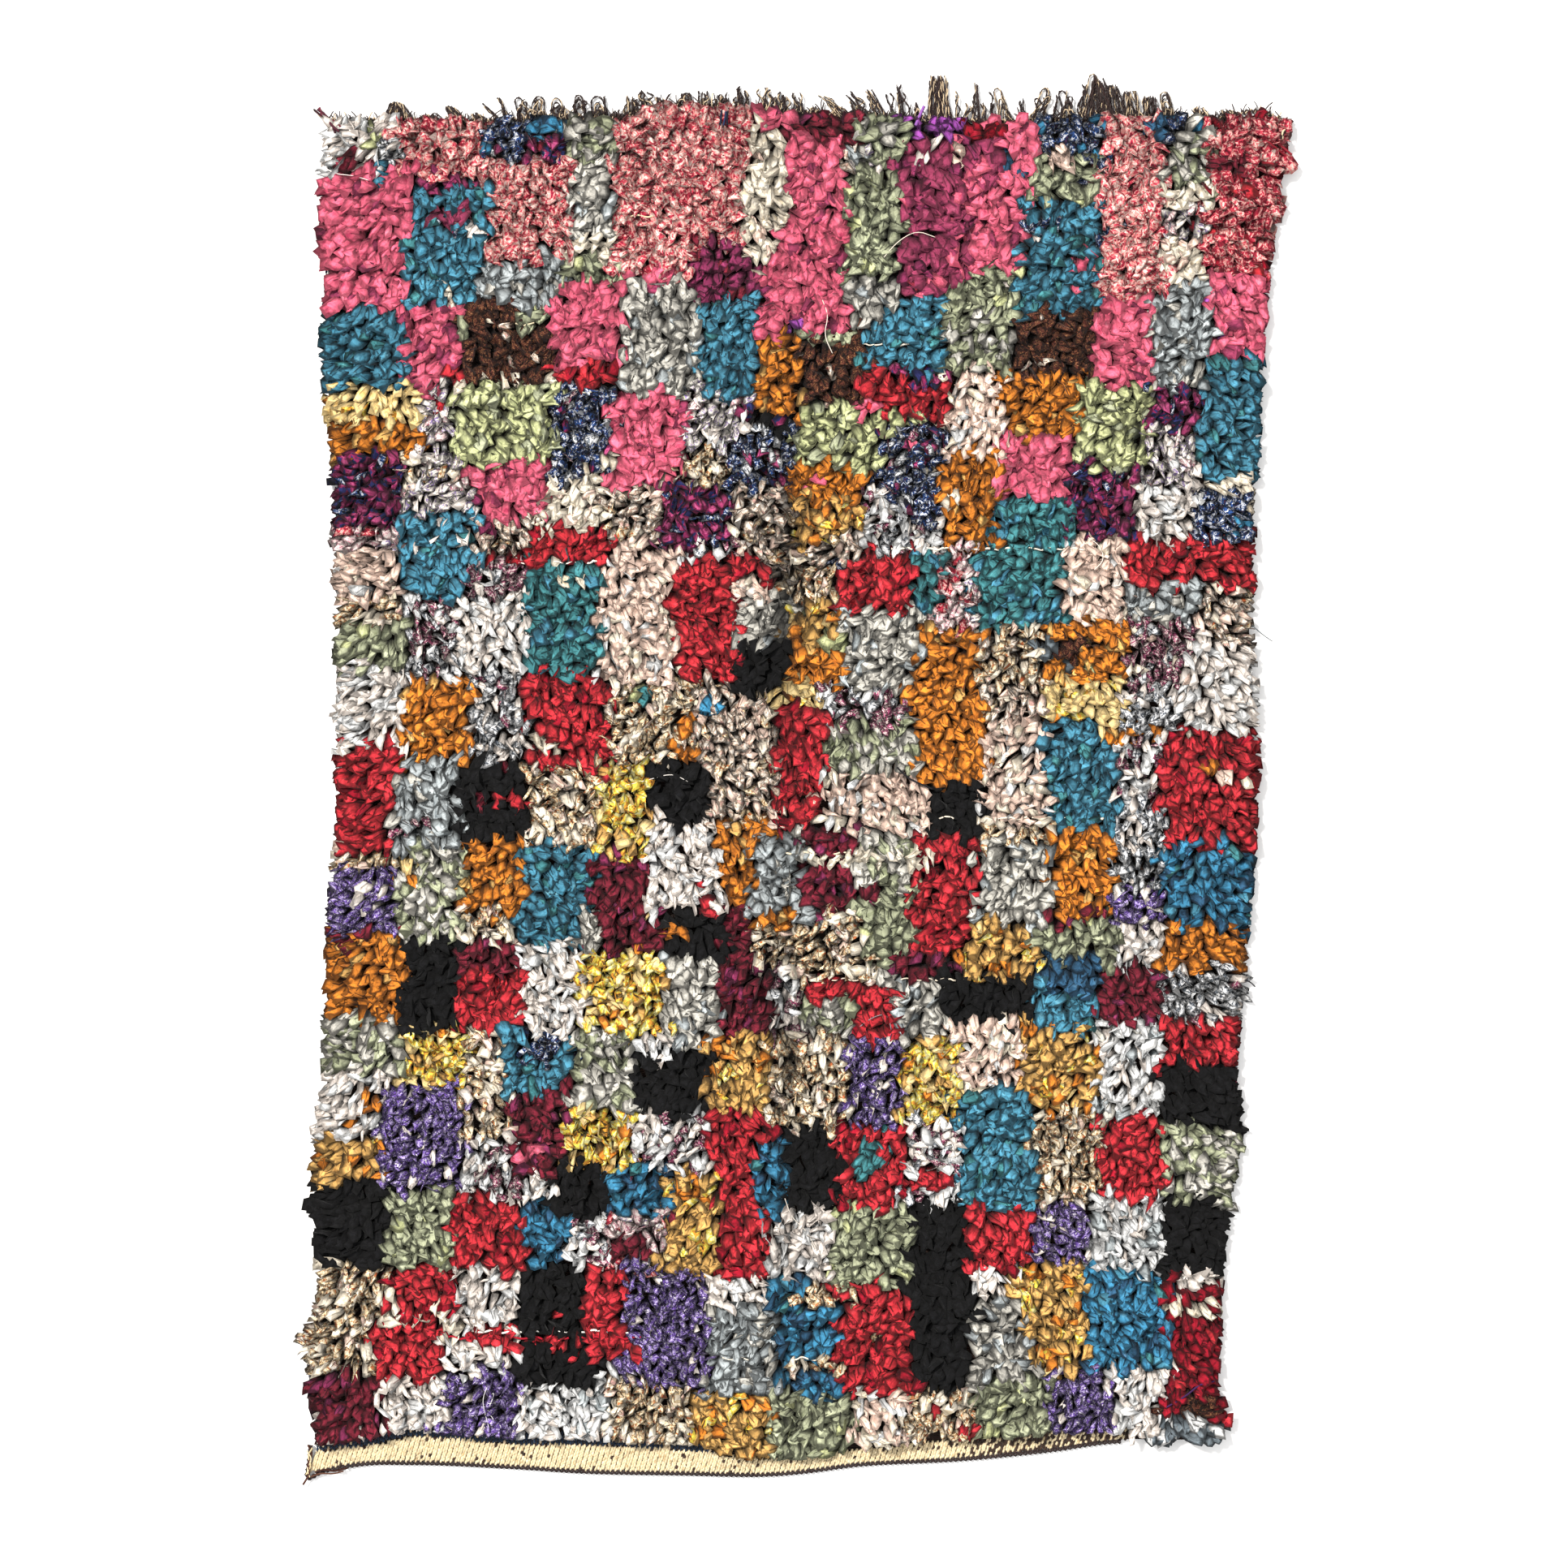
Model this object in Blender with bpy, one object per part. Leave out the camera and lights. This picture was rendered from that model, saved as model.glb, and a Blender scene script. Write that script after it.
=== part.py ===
"""Boucherouite rug: a shaggy rag rug that lies flat.

Its underside rests on z = 0. +Y runs towards the fringed end, +X towards the right-hand side.
The tables give centimetres from the middle of the rug.
"""
import math

import bmesh
import bpy
from mathutils import Vector

CM = 0.01

# The rug's sides, from the hemmed end to the fringed one.
# y, left edge, right edge
SIDES = [
    (-111.8, -77.6, 67.0),
    (-109.2, -77.3, 67.0),
    (-102.7, -77.2, 68.0),
    (-96.2, -78.3, 66.9),
    (-89.7, -79.0, 67.3),
    (-83.2, -76.7, 67.5),
    (-70.2, -77.1, 68.6),
    (-57.2, -76.7, 70.6),
    (-44.2, -75.5, 70.5),
    (-31.2, -75.1, 71.3),
    (-18.2, -74.6, 72.5),
    (-5.2, -73.5, 73.2),
    (14.3, -73.8, 73.4),
    (27.3, -73.5, 72.5),
    (40.3, -74.1, 72.9),
    (53.3, -74.4, 73.8),
    (66.3, -75.6, 74.2),
    (79.3, -75.7, 75.0),
    (92.3, -75.9, 77.0),
    (105.3, -75.7, 79.2),
]

# The bottom edge, from left to right.
# x, y of the edge, depth of the flatwoven hem
HEM = [
    (-77.7, -110.8, 3.0),
    (-69.2, -109.3, 2.4),
    (-62.0, -109.2, 3.9),
    (-56.2, -109.3, 3.6),
    (-44.5, -109.9, 3.3),
    (-33.5, -110.6, 3.9),
    (-17.0, -110.9, 3.2),
    (-6.4, -111.1, 2.4),
    (1.0, -110.6, 1.9),
    (10.3, -109.4, 2.1),
    (25.9, -108.6, 2.9),
    (40.2, -107.2, 2.5),
    (50.4, -105.8, 1.4),
    (60.1, -105.9, 0.9),
    (67.0, -105.6, 0.8),
]

# The top edge of the pile, from left to right.
# x, y
TOP = [
    (-75.7, 105.2),
    (-62.7, 105.2),
    (-49.7, 105.1),
    (-36.7, 105.8),
    (-30.2, 105.5),
    (-23.7, 107.0),
    (-17.2, 107.6),
    (-10.7, 107.2),
    (2.3, 106.4),
    (15.3, 105.8),
    (28.3, 105.0),
    (41.3, 105.3),
    (54.3, 105.8),
    (67.3, 105.5),
    (73.8, 106.6),
    (79.2, 104.2),
]

# Tufts that reach out further than their neighbours: on the left side (-1) or the right (1).
# side, y, reach
LONG_TUFTS = [
    (-1, 96.0, 1.5),
    (-1, 86.5, 1.8),
    (-1, 59.5, 1.4),
    (-1, -56.5, 1.7),
    (-1, -63.5, 1.6),
    (-1, -68.5, 2.4),
    (-1, -91.0, 1.8),
    (1, 98.4, 2.9),
    (1, 91.0, 1.8),
    (1, 31.2, 1.7),
    (1, -33.0, 2.2),
    (1, -57.5, 1.7),
    (1, -69.0, 2.2),
    (1, -101.5, 1.8),
]

# Bare stretches where the selvedge shows between the tufts.
# side, lowest y, highest y
BARE_STRETCHES = [
    (-1, 77.0, 82.5),
    (-1, 11.5, 18.5),
    (-1, -96.0, -92.0),
    (-1, -113.0, -103.5),
    (1, 99.5, 106.0),
    (1, 93.0, 97.0),
    (1, 41.0, 46.5),
    (1, -50.5, -42.5),
]

# Warp ends beyond the top edge, from left to right.
# x and width at the root, x, y and width at the tip, number of ends, whether each one is a loop
WARP_ENDS = [
    (-75.0, 1.3, -76.8, 107.3, 1.1, 1, False),
    (-63.8, 4.4, -64.4, 108.3, 1.8, 4, False),
    (-58.8, 3.6, -59.1, 106.6, 3.2, 4, False),
    (-53.9, 2.6, -56.2, 107.4, 1.3, 2, False),
    (-50.8, 1.6, -51.2, 106.4, 1.2, 2, False),
    (-47.4, 0.7, -50.8, 108.5, 0.4, 1, False),
    (-46.0, 1.4, -48.0, 109.1, 0.8, 2, False),
    (-43.7, 1.8, -44.3, 109.3, 1.6, 1, True),
    (-41.3, 2.3, -41.9, 109.5, 2.1, 1, True),
    (-38.0, 2.6, -38.7, 109.2, 2.1, 1, True),
    (-35.0, 2.3, -34.6, 109.7, 2.1, 1, True),
    (-31.8, 2.9, -31.5, 109.5, 2.3, 1, True),
    (-28.9, 2.1, -29.2, 107.2, 1.8, 3, False),
    (-26.5, 2.3, -26.7, 109.5, 2.1, 3, False),
    (-24.0, 2.1, -25.0, 110.6, 1.3, 3, False),
    (-21.5, 2.1, -22.6, 109.5, 1.3, 2, False),
    (-18.3, 2.9, -17.9, 110.0, 2.3, 1, True),
    (-15.0, 2.1, -15.1, 110.2, 1.6, 2, False),
    (-12.2, 2.7, -12.0, 110.0, 2.6, 3, False),
    (-8.9, 2.9, -9.4, 111.0, 2.1, 3, False),
    (-4.9, 2.3, -5.0, 110.9, 1.6, 2, False),
    (-2.3, 2.3, -2.7, 110.6, 1.8, 3, False),
    (0.2, 1.8, -0.6, 110.4, 1.3, 2, False),
    (2.4, 2.0, 2.4, 107.8, 1.6, 2, False),
    (7.6, 2.6, 3.8, 109.5, 1.3, 2, False),
    (10.5, 2.3, 7.9, 110.5, 1.6, 3, False),
    (13.6, 2.6, 11.1, 110.6, 1.8, 3, False),
    (15.7, 0.7, 14.2, 110.0, 0.4, 1, False),
    (17.1, 1.6, 16.2, 111.2, 1.0, 2, False),
    (19.3, 1.3, 18.8, 108.4, 1.0, 1, False),
    (21.8, 1.8, 21.5, 112.7, 1.6, 1, True),
    (23.9, 1.6, 23.6, 112.5, 1.3, 1, True),
    (25.7, 0.7, 25.0, 111.7, 0.4, 1, False),
    (27.1, 0.7, 27.6, 109.1, 0.4, 1, False),
    (28.7, 1.3, 28.7, 111.7, 0.9, 2, False),
    (30.3, 0.7, 29.7, 109.3, 0.4, 1, False),
    (31.4, 0.7, 30.6, 110.2, 0.4, 1, False),
    (33.1, 1.7, 32.8, 110.8, 1.4, 1, True),
    (36.2, 0.7, 35.9, 110.1, 0.4, 1, False),
    (38.3, 1.7, 39.5, 110.8, 1.6, 1, True),
    (40.9, 0.7, 41.9, 110.1, 0.4, 1, False),
    (42.7, 1.7, 43.6, 110.4, 1.6, 1, True),
    (45.3, 1.0, 46.0, 111.9, 0.8, 2, False),
    (47.9, 2.0, 47.6, 113.1, 2.0, 1, True),
    (50.8, 2.1, 49.9, 111.7, 1.2, 3, False),
    (53.4, 2.1, 52.8, 110.5, 1.6, 3, False),
    (55.8, 2.1, 55.4, 109.5, 1.6, 3, False),
    (59.5, 1.8, 59.0, 110.2, 1.6, 1, True),
    (64.7, 3.4, 64.4, 107.8, 2.6, 4, False),
    (69.1, 3.9, 68.7, 107.2, 3.4, 5, False),
    (77.9, 1.8, 78.6, 106.0, 1.6, 3, False),
]

# Stretches where the furrow down the middle is deep.
# y, half length, share of the depth
FOLD_STRETCHES = [
    (31.0, 16.0, 0.65),
    (-38.0, 12.0, 0.5),
]

# Pile
PILE_HEIGHT = 2.3          # mean height of the crumpled rags
LUMP = 0.7                 # how far single lumps rise and sink
LUMP_SIZE = 6.5
BAND_DOME = 0.25           # how far each band of blocks swells in its middle
BAND_DEPTH = 10.5
RIM_SHARE = 0.62           # height at the rim, as a share of the height inside
RIM_INSET = 1.6            # where the pile reaches its full height
FOLD_X = -1.9              # a soft furrow down the middle, where the rug was folded
FOLD_DEPTH = 0.6
FOLD_WIDTH = 2.2
FOLD_ELSEWHERE = 0.35      # share of the depth that runs the whole length
HEM_THICKNESS = 0.5
HEM_STEP = 0.8             # how far above the hem the pile has its height again
HEM_BARE_TO = 53.0         # right of this the last tufts cover the hem

# Grid
COLUMNS_LEFT = 17          # left of the furrow
COLUMNS_RIGHT = 17         # right of it
HEM_ROWS = 2
PILE_ROWS = 68

# Locks
LOCK_REACH = (0.35, 1.25)
LOCK_WAIST = 0.55          # size and place of a lock's middle section
LOCK_LEAN = 0.8
LOCK_TIP = (0.4, 0.9)      # height of the tip, as a share of the height of the lock's middle

# Fringe
HEADING_GAP = 0.06         # clearance between the pile's edge and the heading
HEADING_DEPTH = 0.6
HEADING_HEIGHT = 0.5
END_FILL = 0.66            # width of a warp end, as a share of the room it has
END_SHORTEST = 0.8
END_WIDEST = 0.5
END_DROP = 0.12            # how much shorter the shortest end of a group is, as a share
END_TIP_HEIGHT = 0.3
END_SWAY = 0.1
LOOP_YARN = 0.42

# Cord along the bottom edge
CORD_GAP = 0.035
CORD_RADIUS = 0.45
CORD_SIDES = 6
CORD_END = 53.5

# Middle line of the cord's bound tail, down the corner; the cord turns the corner within CORD_TURN.
# x, y
TAIL = [
    (-78.6, -106.2),
    (-78.8, -109.0),
    (-78.9, -112.6),
]
CORD_TURN = 2.5

COLOURS = {
    "rug": (0.46, 0.30, 0.25, 1.0),
    "warp_fringe": (0.10, 0.06, 0.045, 1.0),
    "end_cord": (0.085, 0.05, 0.04, 1.0),
}


def chance(a, b):
    """An even spread of values from 0 to 1, the same on each run."""
    value = math.sin(a * 12.9898 + b * 78.233) * 43758.5453
    return value - math.floor(value)


def along(rows, column, at):
    """Smooth curve through one column of a table, read at a value of its first column."""
    last = len(rows) - 1
    k = 0
    while k < last - 1 and rows[k + 1][0] < at:
        k += 1

    def slope(i):
        before = rows[max(i - 1, 0)]
        after = rows[min(i + 1, last)]
        return (after[column] - before[column]) / (after[0] - before[0])

    span = rows[k + 1][0] - rows[k][0]
    t = min(max((at - rows[k][0]) / span, 0.0), 1.0)
    start = rows[k][column]
    end = rows[k + 1][column]
    bend = slope(k) * (t ** 3 - 2.0 * t ** 2 + t) + slope(k + 1) * (t ** 3 - t ** 2)
    return start + (end - start) * (3.0 * t ** 2 - 2.0 * t ** 3) + span * bend


def mix(a, b, share):
    return a + (b - a) * share


def lumps(x, y):
    """Soft lumps from -1 to 1 on a grid of LUMP_SIZE."""
    across = x / LUMP_SIZE
    up = y / LUMP_SIZE
    i = math.floor(across)
    j = math.floor(up)
    s = across - i
    t = up - j
    s = s * s * (3.0 - 2.0 * s)
    t = t * t * (3.0 - 2.0 * t)
    low = mix(chance(i, j), chance(i + 1, j), s)
    high = mix(chance(i, j + 1), chance(i + 1, j + 1), s)
    return 2.0 * mix(low, high, t) - 1.0


def furrow(x, y):
    """Depth of the fold line at a point of the plan."""
    strength = FOLD_ELSEWHERE
    for middle, half, share in FOLD_STRETCHES:
        strength += share * math.exp(-((y - middle) / half) ** 2)
    return FOLD_DEPTH * strength * math.exp(-((x - FOLD_X) / FOLD_WIDTH) ** 2)


def pile_height(x, y):
    dome = BAND_DOME * math.cos(2.0 * math.pi * y / BAND_DEPTH)
    return PILE_HEIGHT + LUMP * lumps(x, y) + dome - furrow(x, y)


def column_share(i):
    """Where grid column i lies: -1 at the left edge, 0 on the furrow, 1 at the right edge."""
    if i < COLUMNS_LEFT:
        return -1.0 + i / COLUMNS_LEFT
    return (i - COLUMNS_LEFT) / COLUMNS_RIGHT


def column_x(i, y):
    """X of grid column i at height y, with the first column inside the rim close to it."""
    share = column_share(i)
    edge = along(SIDES, 1 if share < 0.0 else 2, y)
    x = FOLD_X + abs(share) * (edge - FOLD_X)
    if i == 1:
        x = edge + RIM_INSET
    if i == COLUMNS_LEFT + COLUMNS_RIGHT - 1:
        x = edge - RIM_INSET
    return x


def plan_point(i, j):
    """Plan position of a grid point."""
    rows = HEM_ROWS + 1 + PILE_ROWS
    x = column_x(i, mix(HEM[0][1], TOP[0][1], j / rows))
    bottom = along(HEM, 1, x)
    hem = along(HEM, 2, x)
    if j <= HEM_ROWS:
        y = bottom + hem * j / HEM_ROWS
    else:
        share = (j - HEM_ROWS - 1) / PILE_ROWS
        y = mix(bottom + hem + HEM_STEP, along(TOP, 1, x), share)
    return x, y


def top_height(i, j, x, y):
    """Height of the slab over a grid point."""
    if j <= HEM_ROWS and x < HEM_BARE_TO:
        return HEM_THICKNESS
    height = pile_height(x, y)
    last_row = HEM_ROWS + 1 + PILE_ROWS
    if i in (0, COLUMNS_LEFT + COLUMNS_RIGHT) or j in (0, last_row):
        height *= RIM_SHARE
    return height


def is_bare(side, y):
    return any(row[0] == side and row[1] <= y <= row[2] for row in BARE_STRETCHES)


def lock_reach(side, low, high, seed):
    """How far the lock between two grid rows stands out."""
    for row in LONG_TUFTS:
        if row[0] == side and low <= row[1] < high:
            return row[2]
    return mix(LOCK_REACH[0], LOCK_REACH[1], chance(seed, side * 3.7))


def draw_lock(bm, ring, outward, reach, seed):
    """Close the wall between four points with a tapering four-sided lock."""
    middle = sum((v.co for v in ring), Vector()) / 4.0
    sideways = Vector((-outward.y, outward.x, 0.0))
    lean = sideways * LOCK_LEAN * (chance(seed, 1.3) - 0.5) * CM
    waist_at = middle + (outward * reach * CM + lean) * LOCK_WAIST
    waist = []
    for v in ring:
        waist.append(bm.verts.new(waist_at + (v.co - middle) * LOCK_WAIST))
    tip_at = middle + outward * reach * CM + lean
    tip_at.z *= mix(LOCK_TIP[0], LOCK_TIP[1], chance(seed, 2.9))
    tip = bm.verts.new(tip_at)
    for k in range(4):
        n = (k + 1) % 4
        bm.faces.new((ring[k], ring[n], waist[n], waist[k]))
        bm.faces.new((waist[k], waist[n], tip))


def build_rug():
    """Lumpy pile slab with its hem band, and a lock for each row of tufts along its sides."""
    bm = bmesh.new()
    columns = COLUMNS_LEFT + COLUMNS_RIGHT
    rows = HEM_ROWS + 1 + PILE_ROWS
    upper = {}
    lower = {}
    for i in range(columns + 1):
        for j in range(rows + 1):
            x, y = plan_point(i, j)
            upper[i, j] = bm.verts.new((x * CM, y * CM, top_height(i, j, x, y) * CM))
            if i in (0, columns) or j in (0, rows):
                lower[i, j] = bm.verts.new((x * CM, y * CM, 0.0))
    for i in range(columns):
        for j in range(rows):
            bm.faces.new((upper[i, j], upper[i + 1, j], upper[i + 1, j + 1], upper[i, j + 1]))

    edge = [(i, 0) for i in range(columns)]
    edge += [(columns, j) for j in range(rows)]
    edge += [(i, rows) for i in range(columns, 0, -1)]
    edge += [(0, j) for j in range(rows, 0, -1)]
    bm.faces.new([lower[key] for key in reversed(edge)])
    for k, here in enumerate(edge):
        there = edge[(k + 1) % len(edge)]
        ring = (lower[here], lower[there], upper[there], upper[here])
        low, high = sorted((lower[here].co.y / CM, lower[there].co.y / CM))
        middle_y = (low + high) / 2.0
        if here[0] == there[0] and min(here[1], there[1]) > HEM_ROWS:
            side = -1 if here[0] == 0 else 1
            if not is_bare(side, middle_y):
                outward = Vector((float(side), 0.0, 0.0))
                draw_lock(bm, ring, outward, lock_reach(side, low, high, k), k)
                continue
        if here[1] == there[1] == 0 and lower[here].co.x > HEM_BARE_TO * CM:
            draw_lock(bm, ring, Vector((0.0, -1.0, 0.0)), LOCK_REACH[1], k)
            continue
        bm.faces.new(ring)
    return finish(bm, "rug", "rag_pile")


def heading_y(x, depth):
    """Y across the narrow heading that holds the warp ends, along the slab's own edge."""
    columns = COLUMNS_LEFT + COLUMNS_RIGHT
    last_row = HEM_ROWS + 1 + PILE_ROWS
    i = 0
    while i < columns - 1 and plan_point(i + 1, last_row)[0] < x:
        i += 1
    x0, y0 = plan_point(i, last_row)
    x1, y1 = plan_point(i + 1, last_row)
    return mix(y0, y1, (x - x0) / (x1 - x0)) + HEADING_GAP + depth


def end_roots():
    """Plan of all the warp ends, as (left x, right x, index of its group, index in the group)."""
    roots = []
    for g, row in enumerate(WARP_ENDS):
        count = 2 if row[6] else row[5]
        room = row[1] / count
        for k in range(count):
            middle = row[0] - row[1] / 2.0 + room * (k + 0.5)
            half = room * END_FILL / 2.0
            roots.append((middle - half, middle + half, g, k))
    return roots


def section(bm, middle, across, width, height):
    """Four corners of a strand's section that rests on the floor."""
    half = across * (width / 2.0)
    corners = []
    for sign, z in ((-1, 0.0), (1, 0.0), (1, height), (-1, height)):
        spot = middle + half * sign
        corners.append(bm.verts.new((spot.x * CM, spot.y * CM, z * CM)))
    return corners


def skin(bm, sections):
    for a, b in zip(sections, sections[1:]):
        for k in range(4):
            n = (k + 1) % 4
            bm.faces.new((a[k], a[n], b[n], b[k]))


def draw_strand(bm, root, start, tip, width, tip_width, seed):
    """One cut warp end from its root to its tip."""
    way = tip - start
    across = Vector((way.y, -way.x, 0.0)).normalized()
    upright = way.y / way.length
    sway = END_SWAY * (chance(seed, 4.1) - 0.5) * way.length
    sections = [root]
    for share in (0.45, 1.0):
        spot = start + way * share + across * sway * math.sin(math.pi * share)
        height = mix(HEADING_HEIGHT, END_TIP_HEIGHT, share)
        yarn = min(mix(width, tip_width, share), END_WIDEST) * upright
        sections.append(section(bm, spot, across, yarn, height))
    skin(bm, sections)
    bm.faces.new(list(reversed(sections[-1])))


def draw_loop(bm, left_root, right_root, starts, tip, head):
    """One uncut warp end that comes out of the heading, turns back and goes in again."""
    left, right = starts
    yarn = min(LOOP_YARN, head * 0.3)
    half = (head - yarn) / 2.0
    centre = Vector((tip.x, tip.y - yarn / 2.0 - half, 0.0))
    across = Vector((1.0, 0.0, 0.0))
    sections = [left_root]
    for share in (0.4, 0.85):
        spot = left.lerp(centre - across * half, share)
        sections.append(section(bm, spot, across, yarn, END_TIP_HEIGHT))
    for angle in (150.0, 90.0, 30.0):
        ray = Vector((math.cos(math.radians(angle)), math.sin(math.radians(angle)), 0.0))
        sections.append(section(bm, centre + ray * half, -ray, yarn, END_TIP_HEIGHT))
    for share in (0.85, 0.4):
        spot = right.lerp(centre + across * half, share)
        sections.append(section(bm, spot, -across, yarn, END_TIP_HEIGHT))
    sections.append([right_root[1], right_root[0], right_root[3], right_root[2]])
    skin(bm, sections)


def build_fringe():
    """The twined heading just beyond the pile, with the warp ends that grow out of it."""
    bm = bmesh.new()
    roots = end_roots()
    stops = [TOP[0][0]]
    for left, right, _, _ in roots:
        stops += [left, right]
    stops.append(TOP[-1][0])
    far = HEADING_DEPTH
    posts = []
    for x in stops:
        post = []
        for depth, z in ((0.0, 0.0), (far, 0.0), (far, HEADING_HEIGHT), (0.0, HEADING_HEIGHT)):
            post.append(bm.verts.new((x * CM, heading_y(x, depth) * CM, z * CM)))
        posts.append(post)
    for k, (a, b) in enumerate(zip(posts, posts[1:])):
        bm.faces.new((a[0], b[0], b[1], a[1]))
        bm.faces.new((a[2], b[2], b[3], a[3]))
        bm.faces.new((a[3], b[3], b[0], a[0]))
        if k % 2 == 0:
            bm.faces.new((a[1], b[1], b[2], a[2]))
    bm.faces.new(posts[0])
    bm.faces.new(list(reversed(posts[-1])))

    starts = []
    faces = []
    for k, (left, right, _, _) in enumerate(roots):
        a = posts[2 * k + 1]
        b = posts[2 * k + 2]
        faces.append([a[1], b[1], b[2], a[2]])
        middle = (left + right) / 2.0
        starts.append(Vector((middle, heading_y(middle, HEADING_DEPTH), 0.0)))
    for k, (left, right, g, index) in enumerate(roots):
        x, width, tip_x, tip_y, tip_width, count, is_loop = WARP_ENDS[g]
        tip_y = max(tip_y, starts[k].y + END_SHORTEST)
        if is_loop:
            if index == 0:
                pair = (starts[k], starts[k + 1])
                draw_loop(bm, faces[k], faces[k + 1], pair, Vector((tip_x, tip_y, 0.0)), tip_width)
            continue
        room = tip_width / count
        offset = room * (index + 0.5) - tip_width / 2.0
        longest = Vector((tip_x + offset, tip_y, 0.0))
        tip = starts[k].lerp(longest, 1.0 - END_DROP * chance(k, 7.7))
        draw_strand(bm, faces[k], starts[k], tip, right - left, room * END_FILL, g)
    return finish(bm, "warp_fringe", "warp_yarn")


def build_end_cord():
    """Cord laid along the hem, with a bound tail up the corner."""
    line = [Vector((x, y, 0.0)) for x, y in TAIL]
    columns = COLUMNS_LEFT + COLUMNS_RIGHT
    for i in range(columns + 1):
        x, y = plan_point(i, 0)
        if TAIL[-1][0] + CORD_TURN < x < CORD_END:
            line.append(Vector((x, y - CORD_GAP - CORD_RADIUS, 0.0)))
    bm = bmesh.new()
    rings = []
    for k, spot in enumerate(line):
        before = (spot - line[k - 1]).normalized() if k else (line[1] - line[0]).normalized()
        after = (line[k + 1] - spot).normalized() if k < len(line) - 1 else before
        way = (before + after).normalized()
        across = Vector((-way.y, way.x, 0.0)) / max(way.dot(before), 0.5)
        ring = []
        for s in range(CORD_SIDES):
            angle = 2.0 * math.pi * s / CORD_SIDES
            point = spot + across * CORD_RADIUS * math.cos(angle)
            point.z = CORD_RADIUS * math.sin(math.radians(60.0)) + CORD_RADIUS * math.sin(angle)
            ring.append(bm.verts.new(point * CM))
        rings.append(ring)
    for a, b in zip(rings, rings[1:]):
        for s in range(CORD_SIDES):
            n = (s + 1) % CORD_SIDES
            bm.faces.new((a[s], a[n], b[n], b[s]))
    bm.faces.new(rings[0])
    bm.faces.new(list(reversed(rings[-1])))
    return finish(bm, "end_cord", "cord_yarn")


def finish(bm, name, material_name):
    """Turn the faces out, split them into triangles and add the object to the scene."""
    bmesh.ops.triangulate(bm, faces=[f for f in bm.faces if len(f.verts) > 4])
    bmesh.ops.recalc_face_normals(bm, faces=bm.faces[:])
    mesh = bpy.data.meshes.new(name)
    bm.to_mesh(mesh)
    bm.free()
    material = bpy.data.materials.new(material_name)
    material.use_nodes = True
    shader = material.node_tree.nodes["Principled BSDF"]
    shader.inputs["Base Color"].default_value = COLOURS[name]
    shader.inputs["Roughness"].default_value = 0.9
    shader.inputs["Metallic"].default_value = 0.0
    mesh.materials.append(material)
    piece = bpy.data.objects.new(name, mesh)
    bpy.context.collection.objects.link(piece)
    return piece


def centre(pieces):
    """Put the middle of the whole rug on the origin, with its underside on z = 0."""
    spots = [v.co for piece in pieces for v in piece.data.vertices]
    middle_x = (min(s.x for s in spots) + max(s.x for s in spots)) / 2.0
    middle_y = (min(s.y for s in spots) + max(s.y for s in spots)) / 2.0
    for piece in pieces:
        for v in piece.data.vertices:
            v.co.x -= middle_x
            v.co.y -= middle_y
    print("centred by", round(middle_x, 5), round(middle_y, 5))


def main():
    for old in list(bpy.data.objects):
        bpy.data.objects.remove(old, do_unlink=True)
    centre([build_rug(), build_fringe(), build_end_cord()])


main()
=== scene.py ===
"""Boucherouite rug: the woven ground, its rag pile, hem, cord and warp ends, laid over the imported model.

Lengths in the tables are centimetres from the middle of the rug, +Y towards the fringed end.
"""
import math

import bpy
import numpy as np
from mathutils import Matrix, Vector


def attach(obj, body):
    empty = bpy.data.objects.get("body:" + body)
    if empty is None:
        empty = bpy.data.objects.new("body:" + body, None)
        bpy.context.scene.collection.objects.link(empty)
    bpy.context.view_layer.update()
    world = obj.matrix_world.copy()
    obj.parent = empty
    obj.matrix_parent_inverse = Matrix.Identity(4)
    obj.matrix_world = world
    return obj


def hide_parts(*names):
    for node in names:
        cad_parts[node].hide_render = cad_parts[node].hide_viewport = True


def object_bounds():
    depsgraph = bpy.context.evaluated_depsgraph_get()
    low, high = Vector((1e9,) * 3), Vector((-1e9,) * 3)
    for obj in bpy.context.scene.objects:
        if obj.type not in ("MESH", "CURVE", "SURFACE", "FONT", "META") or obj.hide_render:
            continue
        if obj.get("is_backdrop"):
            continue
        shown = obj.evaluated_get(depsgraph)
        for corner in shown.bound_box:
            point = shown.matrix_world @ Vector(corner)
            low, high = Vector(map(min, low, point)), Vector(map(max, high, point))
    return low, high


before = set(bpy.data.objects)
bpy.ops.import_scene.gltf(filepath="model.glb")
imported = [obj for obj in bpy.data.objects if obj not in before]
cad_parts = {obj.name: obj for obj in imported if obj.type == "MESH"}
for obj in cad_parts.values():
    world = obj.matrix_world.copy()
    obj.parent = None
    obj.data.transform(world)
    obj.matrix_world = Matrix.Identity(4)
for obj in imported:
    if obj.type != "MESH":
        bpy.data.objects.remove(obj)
cad_low, cad_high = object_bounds()

CM = 0.01
SHIFT = (0.389, -0.134)       # what centring the solids took off x and y

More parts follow.
